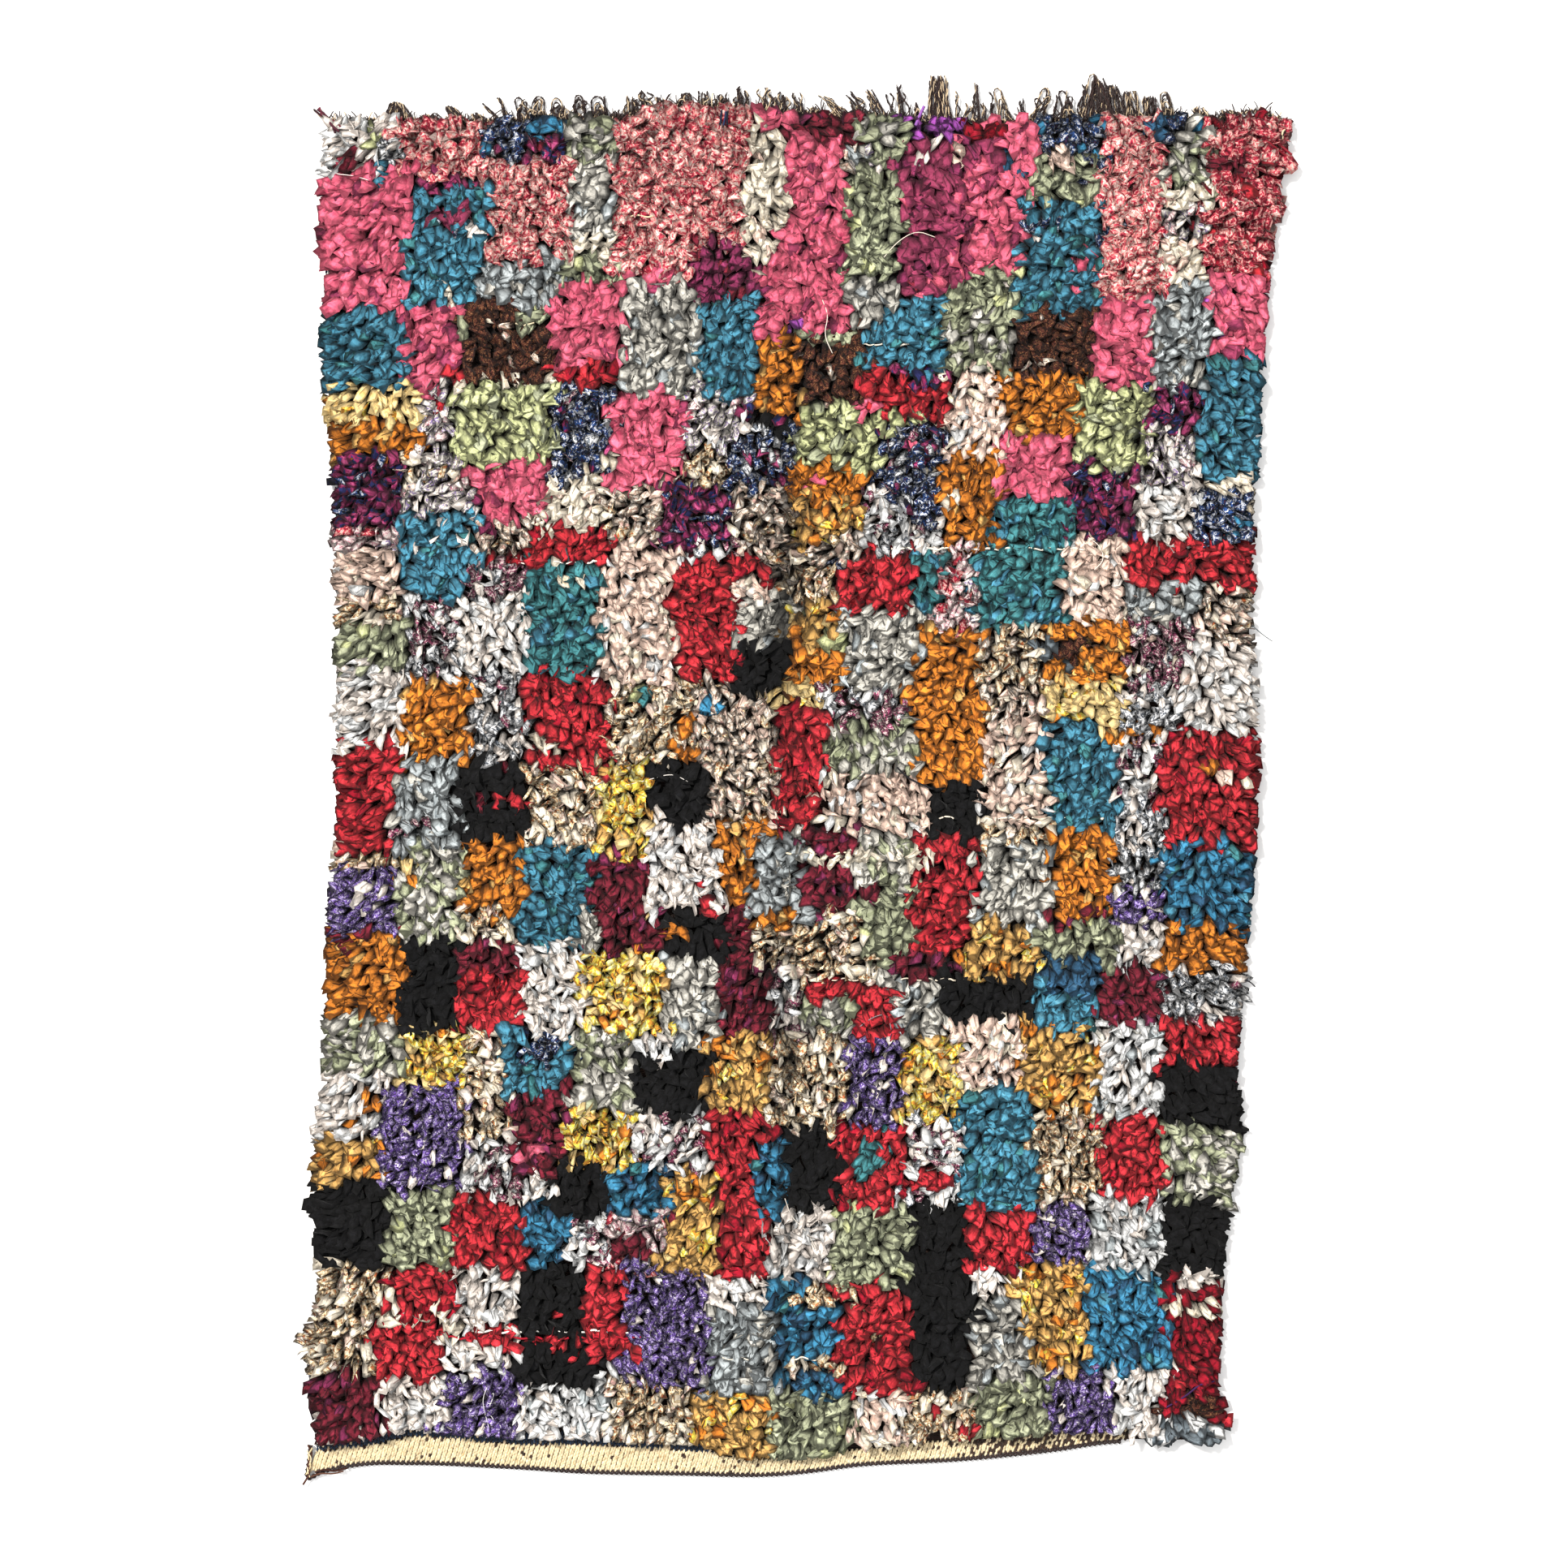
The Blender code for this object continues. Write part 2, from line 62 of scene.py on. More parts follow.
# The rug's sides, from the hemmed end to the fringed one.
# y, left edge, right edge
SIDES = [
    (-111.8, -77.6, 67.0),
    (-109.2, -77.3, 67.0),
    (-102.7, -77.2, 68.0),
    (-96.2, -78.3, 66.9),
    (-89.7, -79.0, 67.3),
    (-83.2, -76.7, 67.5),
    (-70.2, -77.1, 68.6),
    (-57.2, -76.7, 70.6),
    (-44.2, -75.5, 70.5),
    (-31.2, -75.1, 71.3),
    (-18.2, -74.6, 72.5),
    (-5.2, -73.5, 73.2),
    (14.3, -73.8, 73.4),
    (27.3, -73.5, 72.5),
    (40.3, -74.1, 72.9),
    (53.3, -74.4, 73.8),
    (66.3, -75.6, 74.2),
    (79.3, -75.7, 75.0),
    (92.3, -75.9, 77.0),
    (105.3, -75.7, 79.2),
]

# The bottom edge, from left to right.
# x, y of the edge, depth of the flatwoven hem
HEM = [
    (-77.7, -110.8, 3.0),
    (-69.2, -109.3, 2.4),
    (-62.0, -109.2, 3.9),
    (-56.2, -109.3, 3.6),
    (-44.5, -109.9, 3.3),
    (-33.5, -110.6, 3.9),
    (-17.0, -110.9, 3.2),
    (-6.4, -111.1, 2.4),
    (1.0, -110.6, 1.9),
    (10.3, -109.4, 2.1),
    (25.9, -108.6, 2.9),
    (40.2, -107.2, 2.5),
    (50.4, -105.8, 1.4),
    (60.1, -105.9, 0.9),
    (67.0, -105.6, 0.8),
]

# The top edge of the pile, from left to right.
# x, y
TOP = [
    (-75.7, 105.2),
    (-62.7, 105.2),
    (-49.7, 105.1),
    (-36.7, 105.8),
    (-30.2, 105.5),
    (-23.7, 107.0),
    (-17.2, 107.6),
    (-10.7, 107.2),
    (2.3, 106.4),
    (15.3, 105.8),
    (28.3, 105.0),
    (41.3, 105.3),
    (54.3, 105.8),
    (67.3, 105.5),
    (73.8, 106.6),
    (79.2, 104.2),
]

# Tufts that reach out further than their neighbours: on the left side (-1) or the right (1).
# side, y, reach
LONG_TUFTS = [
    (-1, 96.0, 1.5),
    (-1, 86.5, 1.8),
    (-1, 59.5, 1.4),
    (-1, -56.5, 1.7),
    (-1, -63.5, 1.6),
    (-1, -68.5, 2.4),
    (-1, -91.0, 1.8),
    (1, 98.4, 2.9),
    (1, 91.0, 1.8),
    (1, 31.2, 1.7),
    (1, -33.0, 2.2),
    (1, -57.5, 1.7),
    (1, -69.0, 2.2),
    (1, -101.5, 1.8),
]

# Bare stretches where the selvedge shows between the tufts.
# side, lowest y, highest y
BARE_STRETCHES = [
    (-1, 77.0, 82.5),
    (-1, 11.5, 18.5),
    (-1, -96.0, -92.0),
    (-1, -113.0, -103.5),
    (1, 99.5, 106.0),
    (1, 93.0, 97.0),
    (1, 41.0, 46.5),
    (1, -50.5, -42.5),
]

# Warp ends beyond the top edge, from left to right.
# x and width at the root, x, y and width at the tip, number of ends, whether each one is a loop
WARP_ENDS = [
    (-75.0, 1.3, -76.8, 107.3, 1.1, 1, False),
    (-63.8, 5.4, -64.4, 108.5, 1.4, 24, False),
    (-58.8, 3.6, -59.1, 106.6, 3.2, 6, False),
    (-53.9, 3.2, -56.0, 107.8, 1.2, 16, False),
    (-50.8, 2.6, -51.6, 106.8, 1.6, 8, False),
    (-47.4, 0.7, -50.8, 108.5, 0.4, 1, False),
    (-46.0, 1.4, -48.0, 109.1, 0.8, 2, False),
    (-43.7, 1.8, -44.3, 109.3, 1.6, 1, True),
    (-41.3, 2.3, -41.9, 109.5, 2.1, 1, True),
    (-38.0, 2.6, -38.7, 109.2, 2.1, 1, True),
    (-35.0, 2.3, -34.6, 109.7, 2.1, 1, True),
    (-31.8, 2.9, -31.5, 109.5, 2.3, 1, True),
    (-28.9, 2.1, -29.2, 107.2, 1.8, 3, False),
    (-26.5, 2.3, -26.7, 109.5, 2.1, 3, False),
    (-24.0, 2.1, -25.0, 110.6, 1.3, 3, False),
    (-21.5, 2.1, -22.6, 109.5, 1.3, 2, False),
    (-18.3, 2.9, -17.9, 110.0, 2.3, 1, True),
    (-15.0, 2.1, -15.1, 110.2, 1.6, 2, False),
    (-12.2, 2.7, -12.0, 110.0, 2.6, 3, False),
    (-8.9, 2.9, -9.4, 111.0, 2.1, 3, False),
    (-4.9, 2.3, -5.0, 110.9, 1.6, 2, False),
    (-2.3, 2.3, -2.7, 110.6, 1.8, 3, False),
    (0.2, 1.8, -0.6, 110.4, 1.3, 2, False),
    (2.4, 2.0, 2.4, 107.8, 1.6, 2, False),
    (7.6, 2.6, 3.8, 109.5, 1.3, 2, False),
    (10.5, 2.3, 7.9, 110.5, 1.6, 3, False),
    (13.6, 2.6, 11.1, 110.6, 1.8, 3, False),
    (15.7, 0.7, 14.2, 110.0, 0.4, 1, False),
    (17.1, 1.6, 16.2, 111.2, 1.0, 2, False),
    (19.3, 1.3, 18.8, 108.4, 1.0, 1, False),
    (22.9, 4.2, 22.4, 112.7, 3.8, 26, False),
    (25.7, 0.7, 25.0, 111.7, 0.4, 1, False),
    (27.1, 0.7, 27.6, 109.1, 0.4, 1, False),
    (28.7, 1.3, 28.7, 111.7, 0.9, 2, False),
    (30.3, 0.7, 29.7, 109.3, 0.4, 1, False),
    (31.4, 0.7, 30.6, 110.2, 0.4, 1, False),
    (33.1, 1.7, 32.8, 110.8, 1.4, 1, True),
    (36.2, 0.7, 35.9, 110.1, 0.4, 1, False),
    (38.3, 1.7, 39.5, 110.8, 1.6, 1, True),
    (40.9, 0.7, 41.9, 110.1, 0.4, 1, False),
    (42.7, 1.7, 43.6, 110.4, 1.6, 1, True),
    (45.3, 1.0, 46.0, 111.9, 0.8, 2, False),
    (47.6, 4.6, 47.6, 113.1, 2.2, 1, True),
    (48.4, 5.6, 47.9, 112.3, 1.6, 20, False),
    (51.2, 3.2, 50.3, 111.3, 2.0, 14, False),
    (53.8, 3.2, 53.2, 110.3, 2.2, 14, False),
    (56.4, 2.8, 56.2, 109.4, 2.2, 12, False),
    (59.5, 1.8, 59.0, 110.2, 1.6, 1, True),
    (64.7, 3.4, 64.4, 107.8, 2.6, 4, False),
    (69.1, 3.9, 68.7, 107.2, 3.4, 5, False),
    (77.9, 1.8, 78.6, 106.0, 1.6, 3, False),
]

# Stretches where the furrow down the middle is deep.
# y, half length, share of the depth
FOLD_STRETCHES = [
    (31.0, 16.0, 0.65),
    (-38.0, 12.0, 0.5),
]

# Pile and its grid, as in the solids
PILE_HEIGHT = 2.3
LUMP = 0.7
LUMP_SIZE = 6.5
BAND_DOME = 0.25
BAND_DEPTH = 10.5
RIM_SHARE = 0.62
RIM_INSET = 1.6
FOLD_X = -1.9
FOLD_DEPTH = 0.6
FOLD_WIDTH = 2.2
FOLD_ELSEWHERE = 0.35
HEM_STEP = 0.8
HEM_BARE_TO = 53.0
SIDE_ROWS = 68
LOCK_REACH = (0.35, 1.25)

# Cloths that the rags are torn from: the colours of its main part, lighter part, darker part and fleck.
# On plain cloth the lighter and darker parts are partly the cloth's own uneven tone and partly painted light and
# painted shade; on a print they are colours of the print.
# name: main, light, dark, fleck, size of the print in cm (0 for plain cloth, below 0 for thin scrolls)
CLOTHS = {
    "pink": ("f26c88", "fb98ac", "c44062", "fbacbc", 0),
    "raspberry": ("983a5a", "b45876", "6e2244", "c87490", 0),
    "teal": ("4c8ea8", "74b0c2", "26627a", "88bcca", 0),
    "sea_green": ("478a90", "68aaaa", "2a6468", "86c0b6", 0),
    "blue": ("3f88ae", "68a8c6", "1c5878", "8abad2", 0),
    "ink_blue": ("345f80", "5482a4", "1d3a52", "8aa8bc", 0),
    "red": ("d0323c", "e24c54", "921a2a", "e2666a", 0),
    "crimson": ("a01228", "bd2a3e", "66081a", "c84656", 0),
    "burgundy": ("7e2234", "9a3a4c", "4c101a", "b05a70", 0),
    "wine": ("8a3058", "a84c74", "5a1838", "b86c92", 0),
    "orange": ("e68a30", "f6a44c", "b2641e", "f4b870", 0),
    "ochre": ("e6b468", "f4ce8a", "b98746", "f6dca6", 0),
    "yellow": ("ffe09c", "fff4c4", "f0c474", "fff6cc", 0),
    "bright_print": ("f2da52", "f9f0a8", "e09a38", "54421e", 1.3),
    "sage": ("acb192", "c6ccae", "828968", "dadec4", 0),
    "celery": ("ccd19a", "e2e6b4", "9ca472", "eef0ca", 0),
    "pale_grey": ("cbc8be", "e2e0d6", "999790", "eeeee8", 0),
    "grey_blue": ("b8c0c2", "d4dadb", "8a9498", "e2e8e9", 0),
    "cream": ("faeed8", "fff9ec", "e2cfae", "fffaf0", 0),
    "blush": ("f9dac8", "ffeee2", "d8b29e", "fff0e8", 0),
    "white": ("fdf2e8", "fffaf4", "dccec2", "fffaf4", 0),
    "cool_white": ("f2f3f2", "fdfefe", "bec0c2", "ffffff", 0),
    "black": ("0d0d0f", "1a1b1e", "040405", "2c2d32", 0),
    "brown": ("48211a", "5c2f24", "2a110d", "a8784e", -0.5),
    "rose_print": ("f09a94", "fddcd2", "ce4456", "8c1c34", 0.6),
    "crimson_print": ("c44050", "f4b4ac", "981e34", "5c0a1c", 0.6),
    "navy_print": ("26447a", "ccd0d8", "101828", "3c2444", 0.6),
    "burgundy_navy": ("7a1f4c", "b04a78", "262a5c", "1a1c30", 2.6),
    "violet_print": ("66489c", "b4a6ce", "40325f", "dcd4e6", 0.45),
    "orchid": ("a650b0", "c47cc6", "6c3478", "dcb0d8", 0),
    "lilac_print": ("e6ddd4", "f7f1e8", "947fb0", "aeb48c", 0.6),
    "pink_print": ("e8cac8", "f8eae4", "b87888", "efe9e4", 0.5),
    "cream_print": ("f2d8ac", "faebd2", "a07a54", "cc6c3e", 0.5),
    "taupe": ("ead6c2", "f8eee2", "ae9682", "e0b0a6", 0.7),
    "slate": ("747f86", "98a3a9", "434c53", "bcc6ca", 0),
    "grey_print": ("d6d8da", "f3f3f3", "4c525c", "8b949c", 0.5),
    "plum_print": ("a04a6e", "e4d4ce", "40242e", "c0aca8", 0.5),
}

# Rag bundles: each is one joined mesh of two cloths, so that single rags can be of either.
# bundle: first cloth, second cloth, rag width, rag length, how crumpled
BUNDLES = {
    "pink": ("pink", "raspberry", 2.2, 4.6, 0.7),
    "teal": ("teal", "sea_green", 2.05, 4.3, 0.7),
    "blue": ("blue", "ink_blue", 1.95, 4.2, 0.7),
    "red": ("red", "crimson", 2, 4.2, 0.75),
    "burgundy": ("burgundy", "wine", 1.85, 4, 0.8),
    "orange": ("orange", "ochre", 1.9, 4.1, 0.8),
    "yellow": ("yellow", "bright_print", 1.65, 3.8, 1.1),
    "sage": ("sage", "celery", 2.1, 4.5, 0.8),
    "grey": ("pale_grey", "grey_blue", 2.1, 4.5, 0.8),
    "cream": ("cream", "blush", 1.6, 4.1, 1.15),
    "white": ("white", "cool_white", 1.5, 4, 1.25),
    "black": ("black", "brown", 1.85, 4.2, 0.75),
    "rose": ("rose_print", "crimson_print", 2.15, 4.4, 1.0),
    "navy": ("navy_print", "burgundy_navy", 1.65, 4, 1.1),
    "violet": ("violet_print", "orchid", 1.55, 3.7, 1.25),
    "lilac": ("lilac_print", "pink_print", 1.55, 3.9, 1.25),
    "fawn": ("cream_print", "taupe", 1.4, 3.8, 1.3),
    "ash": ("grey_print", "plum_print", 1.4, 3.9, 1.3),
    "slate": ("slate", "cool_white", 2.2, 4.5, 0.7),
}

# What each name in the weaver's plan is made of.
# name: bundle, share of its second cloth, share of stray rags from another bundle, that bundle
PLAN_CLOTHS = {
    "pink": ("pink", 0.08, 0.0, "pink"),
    "pinkd": ("pink", 0.35, 0.0, "pink"),
    "rasp": ("pink", 0.85, 0.15, "burgundy"),
    "teal": ("teal", 0.1, 0.0, "teal"),
    "green": ("teal", 0.8, 0.0, "teal"),
    "blue": ("blue", 0.25, 0.08, "teal"),
    "red": ("red", 0.08, 0.0, "red"),
    "crim": ("red", 0.9, 0.0, "red"),
    "burg": ("burgundy", 0.15, 0.0, "burgundy"),
    "wine": ("burgundy", 0.85, 0.0, "burgundy"),
    "orange": ("orange", 0.06, 0.0, "orange"),
    "ochre": ("orange", 0.85, 0.1, "yellow"),
    "yellow": ("yellow", 0.06, 0.06, "orange"),
    "bright": ("yellow", 0.75, 0.12, "orange"),
    "sage": ("sage", 0.08, 0.0, "sage"),
    "sagegrey": ("sage", 0.0, 0.5, "grey"),
    "celery": ("sage", 0.85, 0.0, "sage"),
    "pgrey": ("grey", 0.15, 0.0, "grey"),
    "gblue": ("grey", 0.85, 0.0, "grey"),
    "cream": ("cream", 0.1, 0.0, "cream"),
    "blush": ("cream", 0.85, 0.1, "white"),
    "white": ("white", 0.3, 0.0, "white"),
    "greyw": ("white", 0.6, 0.4, "ash"),
    "coolw": ("white", 0.85, 0.1, "grey"),
    "black": ("black", 0.0, 0.0, "black"),
    "brown": ("black", 1.0, 0.04, "fawn"),
    "roseprint": ("rose", 0.12, 0.0, "rose"),
    "crimrose": ("rose", 0.75, 0.12, "red"),
    "navy": ("navy", 0.1, 0.15, "ash"),
    "bnavy": ("navy", 0.0, 0.06, "blue"),
    "ink": ("blue", 1.0, 0.0, "blue"),
    "burgnavy": ("navy", 0.9, 0.15, "burgundy"),
    "purple": ("violet", 0.0, 0.06, "white"),
    "orchid": ("violet", 1.0, 0.0, "violet"),
    "lilac": ("lilac", 0.15, 0.2, "white"),
    "pinkw": ("lilac", 0.9, 0.15, "rose"),
    "creampink": ("fawn", 0.2, 0.4, "cream"),
    "creambrown": ("fawn", 0.1, 0.2, "cream"),
    "taupe": ("fawn", 0.85, 0.1, "cream"),
    "greyprint": ("ash", 0.04, 0.15, "white"),
    "plum": ("ash", 0.8, 0.15, "cream"),
    "strands": ("ash", 0.7, 0.2, "white"),
    "slate": ("slate", 0.35, 0.1, "ash"),
}

# The weaver's plan, read off the photo in its pixels: the fields of the checker, each of one kind of
# cloth. They overlap a little, because their edges fray into each other.
# cloth, left, right, top, bottom
PLAN = [
    ("white", 392, 472, 145, 212), ("greyprint", 458, 510, 172, 220), ("roseprint", 487, 600, 148, 222),
    ("wine", 520, 598, 212, 234),
    ("bnavy", 583, 650, 152, 185), ("navy", 598, 650, 180, 210), ("blue", 650, 700, 152, 172),
    ("burgnavy", 650, 700, 168, 205),
    ("sagegrey", 698, 757, 135, 205), ("pgrey", 700, 757, 205, 290), ("roseprint", 755, 920, 135, 320),
    ("cream", 918, 968, 150, 225), ("pink", 940, 985, 140, 170), ("burg", 968, 1062, 133, 175),
    ("pink", 975, 1040, 165, 205), ("sagegrey", 1060, 1110, 140, 185), ("gblue", 1040, 1075, 178, 205),
    ("orchid", 1118, 1180, 150, 175), ("rasp", 1105, 1240, 172, 235), ("black", 1124, 1142, 180, 212),
    ("pink", 1225, 1275, 140, 240), ("bnavy", 1275, 1362, 143, 198), ("roseprint", 1358, 1432, 132, 240),
    ("bnavy", 1428, 1452, 140, 180), ("sagegrey", 1440, 1492, 160, 235), ("crimrose", 1488, 1592, 140, 250),
    ("pink", 398, 515, 208, 300), ("pink", 398, 505, 300, 382), ("teal", 508, 602, 232, 310),
    ("teal", 490, 600, 300, 378), ("roseprint", 598, 705, 205, 325), ("roseprint", 755, 860, 240, 345),
    ("wine", 848, 912, 240, 375), ("cream", 905, 975, 200, 285), ("cream", 900, 960, 270, 325),
    ("pink", 965, 1045, 200, 320), ("pink", 940, 1045, 310, 412), ("lilac", 1035, 1085, 180, 222),
    ("sage", 1045, 1112, 215, 290), ("sage", 1040, 1115, 285, 350), ("pgrey", 1045, 1110, 345, 400),
    ("rasp", 1110, 1200, 210, 370), ("pink", 1195, 1262, 235, 335), ("sage", 1272, 1352, 195, 250),
    ("teal", 1252, 1362, 245, 390), ("roseprint", 1348, 1440, 235, 372), ("cream", 1425, 1490, 228, 262),
    ("lilac", 1425, 1485, 262, 300), ("cream", 1420, 1490, 300, 352), ("crimrose", 1480, 1570, 250, 335),
    ("pink", 1488, 1560, 335, 442), ("gblue", 575, 690, 320, 375), ("cream", 690, 768, 300, 328),
    ("sage", 688, 768, 325, 352), ("pinkd", 765, 850, 320, 352), ("wine", 845, 955, 345, 375),
    ("teal", 398, 500, 382, 482), ("pink", 492, 572, 380, 478), ("brown", 562, 640, 370, 475),
    ("sage", 618, 682, 392, 412), ("brown", 640, 682, 412, 475), ("pink", 680, 772, 350, 455),
    ("red", 688, 752, 455, 478), ("cream", 558, 686, 465, 478), ("pgrey", 762, 862, 350, 482), ("teal", 858, 932, 370, 492),
    ("orange", 922, 988, 413, 517), ("brown", 983, 1062, 395, 405), ("sage", 985, 1060, 402, 424),
    ("brown", 983, 1062, 424, 500), ("white", 1003, 1036, 460, 484), ("teal", 1058, 1166, 368, 462), ("sage", 1163, 1258, 325, 392),
    ("sagegrey", 1163, 1258, 392, 462), ("brown", 1254, 1348, 385, 468), ("pink", 1344, 1418, 370, 472),
    ("gblue", 1413, 1490, 350, 478), ("yellow", 402, 517, 475, 532), ("orange", 402, 517, 525, 566),
    ("lilac", 513, 562, 478, 602), ("celery", 553, 692, 475, 566), ("navy", 680, 757, 478, 598),
    ("pink", 750, 842, 483, 602), ("lilac", 838, 922, 478, 558), ("navy", 893, 940, 530, 602),
    ("navy", 936, 978, 528, 590), ("burgnavy", 900, 985, 496, 518), ("black", 915, 962, 512, 532), ("burgnavy", 935, 976, 585, 606), ("celery", 983, 1088, 498, 572), ("red", 1058, 1168, 476, 516), ("burgnavy", 1088, 1168, 455, 474),
    ("red", 1054, 1090, 452, 478), ("celery", 1062, 1128, 515, 531),
    ("navy", 1083, 1168, 525, 652), ("blush", 1163, 1238, 450, 562), ("orange", 1233, 1332, 463, 537),
    ("celery", 1328, 1416, 470, 582), ("burgnavy", 1403, 1482, 475, 528), ("lilac", 1403, 1482, 528, 602),
    ("teal", 1474, 1552, 443, 592), ("burgnavy", 408, 502, 558, 652), ("creampink", 490, 575, 564, 602), ("lilac", 497, 586, 600, 640),
    ("pink", 583, 672, 568, 642), ("cream", 663, 742, 588, 658), ("taupe", 741, 819, 600, 658),
    ("creambrown", 828, 908, 553, 602), ("burgnavy", 818, 902, 603, 672), ("taupe", 903, 976, 602, 702),
    ("orange", 973, 1062, 568, 617), ("ochre", 973, 1062, 613, 672), ("taupe", 1000, 1062, 660, 700),
    ("greyw", 1060, 1130, 600, 680), ("greyw", 1055, 1163, 650, 682), ("orange", 1158, 1237, 562, 677), ("pink", 1228, 1320, 534, 615),
    ("green", 1208, 1322, 608, 673), ("burgnavy", 1308, 1402, 573, 668), ("white", 1398, 1476, 598, 668),
    ("cream", 1480, 1542, 588, 608), ("bnavy", 1465, 1530, 606, 672), ("pinkw", 412, 497, 650, 682), ("blush", 412, 497, 678, 745),
    ("teal", 493, 592, 628, 742), ("taupe", 592, 658, 640, 682), ("red", 600, 645, 680, 698),
    ("strands", 558, 652, 690, 745), ("red", 638, 757, 652, 698), ("green", 648, 742, 692, 832),
    ("blush", 738, 832, 672, 842), ("greyw", 850, 915, 660, 688), ("red", 860, 940, 686, 714),
    ("red", 826, 912, 710, 838), ("blush", 900, 940, 714, 742), ("pgrey", 900, 976, 738, 792),
    ("creambrown", 975, 1030, 690, 745), ("red", 1018, 1128, 678, 752), ("green", 1123, 1162, 680, 737),
    ("pinkw", 1158, 1212, 678, 782), ("green", 1198, 1313, 678, 772), ("blush", 1308, 1392, 663, 768),
    ("red", 1378, 1546, 672, 728), ("gblue", 1388, 1482, 720, 765), ("taupe", 1478, 1546, 725, 803),
    ("creambrown", 412, 502, 742, 772), ("sage", 412, 502, 768, 824), ("strands", 498, 562, 733, 842),
    ("white", 558, 652, 733, 842), ("black", 903, 978, 788, 864), ("ochre", 960, 1037, 745, 800),
    ("orange", 960, 1037, 795, 842), ("pgrey", 1036, 1136, 752, 848), ("orange", 1126, 1222, 775, 848),
    ("creambrown", 1198, 1292, 775, 852), ("orange", 1288, 1392, 763, 842), ("yellow", 1285, 1392, 838, 902),
    ("plum", 1386, 1482, 768, 852), ("white", 1448, 1546, 778, 902), ("white", 413, 502, 818, 922),
    ("orange", 494, 582, 838, 938), ("greyprint", 578, 652, 818, 938), ("red", 648, 748, 828, 948),
    ("creambrown", 744, 862, 838, 942), ("taupe", 858, 962, 842, 942), ("yellow", 930, 1012, 838, 882),
    ("strands", 1008, 1112, 848, 898), ("orange", 1120, 1215, 845, 972), ("taupe", 1198, 1290, 848, 898),
    ("blush", 1205, 1292, 893, 1022), ("teal", 1286, 1377, 893, 1032), ("greyprint", 1372, 1450, 850, 900),
    ("orange", 1350, 1432, 890, 912), ("greyw", 1372, 1432, 908, 992), ("red", 1423, 1543, 903, 1042),
    ("red", 410, 494, 918, 1048), ("gblue", 478, 568, 938, 1044), ("black", 563, 653, 948, 1036),
    ("creambrown", 646, 742, 943, 1044), ("bright", 738, 803, 948, 1064), ("black", 798, 888, 943, 1012),
    ("taupe", 858, 962, 940, 1020), ("red", 953, 1017, 873, 1022), ("sagegrey", 1015, 1132, 890, 952),
    ("blush", 1003, 1148, 942, 1028), ("black", 1143, 1213, 962, 1034), ("greyprint", 1372, 1438, 988, 1050),
    ("creambrown", 1210, 1300, 1015, 1045), ("creambrown", 408, 492, 1046, 1072),
    ("purple", 408, 493, 1068, 1155), ("sagegrey", 488, 573, 1038, 1160), ("orange", 563, 648, 1033, 1122),
    ("teal", 636, 732, 1043, 1168), ("burg", 726, 803, 1058, 1178), ("white", 796, 888, 1008, 1128),
    ("orange", 880, 952, 1012, 1110), ("gblue", 912, 988, 1026, 1134), ("burg", 982, 1060, 1018, 1112),
    ("burg", 1040, 1085, 1085, 1110), ("sagegrey", 1046, 1132, 1028, 1092), ("red", 1123, 1203, 1026, 1172),
    ("pgrey", 1196, 1292, 1036, 1138), ("orange", 1286, 1373, 1030, 1128), ("burg", 1282, 1370, 1118, 1140),
    ("greyprint", 1366, 1440, 1050, 1102), ("purple", 1366, 1440, 1095, 1142), ("blue", 1428, 1536, 1036, 1142),
    ("creampink", 563, 648, 1118, 1170), ("burg", 745, 825, 1120, 1182), ("black", 816, 902, 1128, 1184),
    ("orange", 912, 984, 1118, 1152), ("creambrown", 930, 1062, 1140, 1215), ("sage", 1056, 1130, 1110, 1172),
    ("burg", 1100, 1185, 1175, 1200), ("ochre", 1176, 1284, 1136, 1206), ("sage", 1278, 1374, 1130, 1206),
    ("white", 1366, 1436, 1136, 1198), ("orange", 1426, 1536, 1136, 1200), ("burg", 405, 498, 1148, 1162),
    ("orange", 403, 508, 1158, 1262), ("black", 496, 568, 1150, 1276), ("burg", 562, 648, 1160, 1200),
    ("red", 562, 648, 1195, 1265), ("white", 643, 717, 1165, 1285), ("bright", 713, 823, 1168, 1285),
    ("pgrey", 816, 893, 1175, 1282), ("burg", 876, 953, 1185, 1285), ("greyw", 946, 990, 1190, 1290),
    ("red", 980, 1050, 1205, 1240), ("sagegrey", 983, 1063, 1235, 1280), ("red", 1046, 1112, 1228, 1285),
    ("pgrey", 1098, 1168, 1203, 1288), ("black", 1158, 1284, 1196, 1270), ("teal", 1262, 1357, 1193, 1270),
    ("burg", 1352, 1434, 1186, 1266), ("greyprint", 1428, 1528, 1193, 1262), ("sagegrey", 396, 503, 1250, 1325),
    ("white", 393, 483, 1322, 1405), ("bright", 493, 578, 1262, 1348), ("creampink", 568, 623, 1256, 1405),
    ("teal", 616, 708, 1262, 1345), ("sagegrey", 698, 783, 1262, 1366), ("white", 768, 830, 1262, 1305), ("black", 773, 878, 1300, 1372),
    ("ochre", 868, 948, 1278, 1370), ("creambrown", 946, 1043, 1272, 1390), ("purple", 1038, 1113, 1272, 1390),
    ("bright", 1103, 1193, 1278, 1385), ("blush", 1163, 1268, 1253, 1340), ("ochre", 1243, 1352, 1253, 1375),
    ("coolw", 1348, 1432, 1250, 1385), ("red", 1426, 1528, 1253, 1315), ("black", 1416, 1528, 1308, 1395),
    ("purple", 466, 573, 1333, 1470), ("ochre", 393, 483, 1398, 1460), ("creampink", 572, 640, 1358, 1400), ("greyw", 565, 650, 1395, 1475),
    ("burg", 626, 703, 1345, 1448), ("white", 643, 690, 1445, 1478), ("bright", 688, 783, 1360, 1445), ("greyw", 773, 873, 1362, 1445),
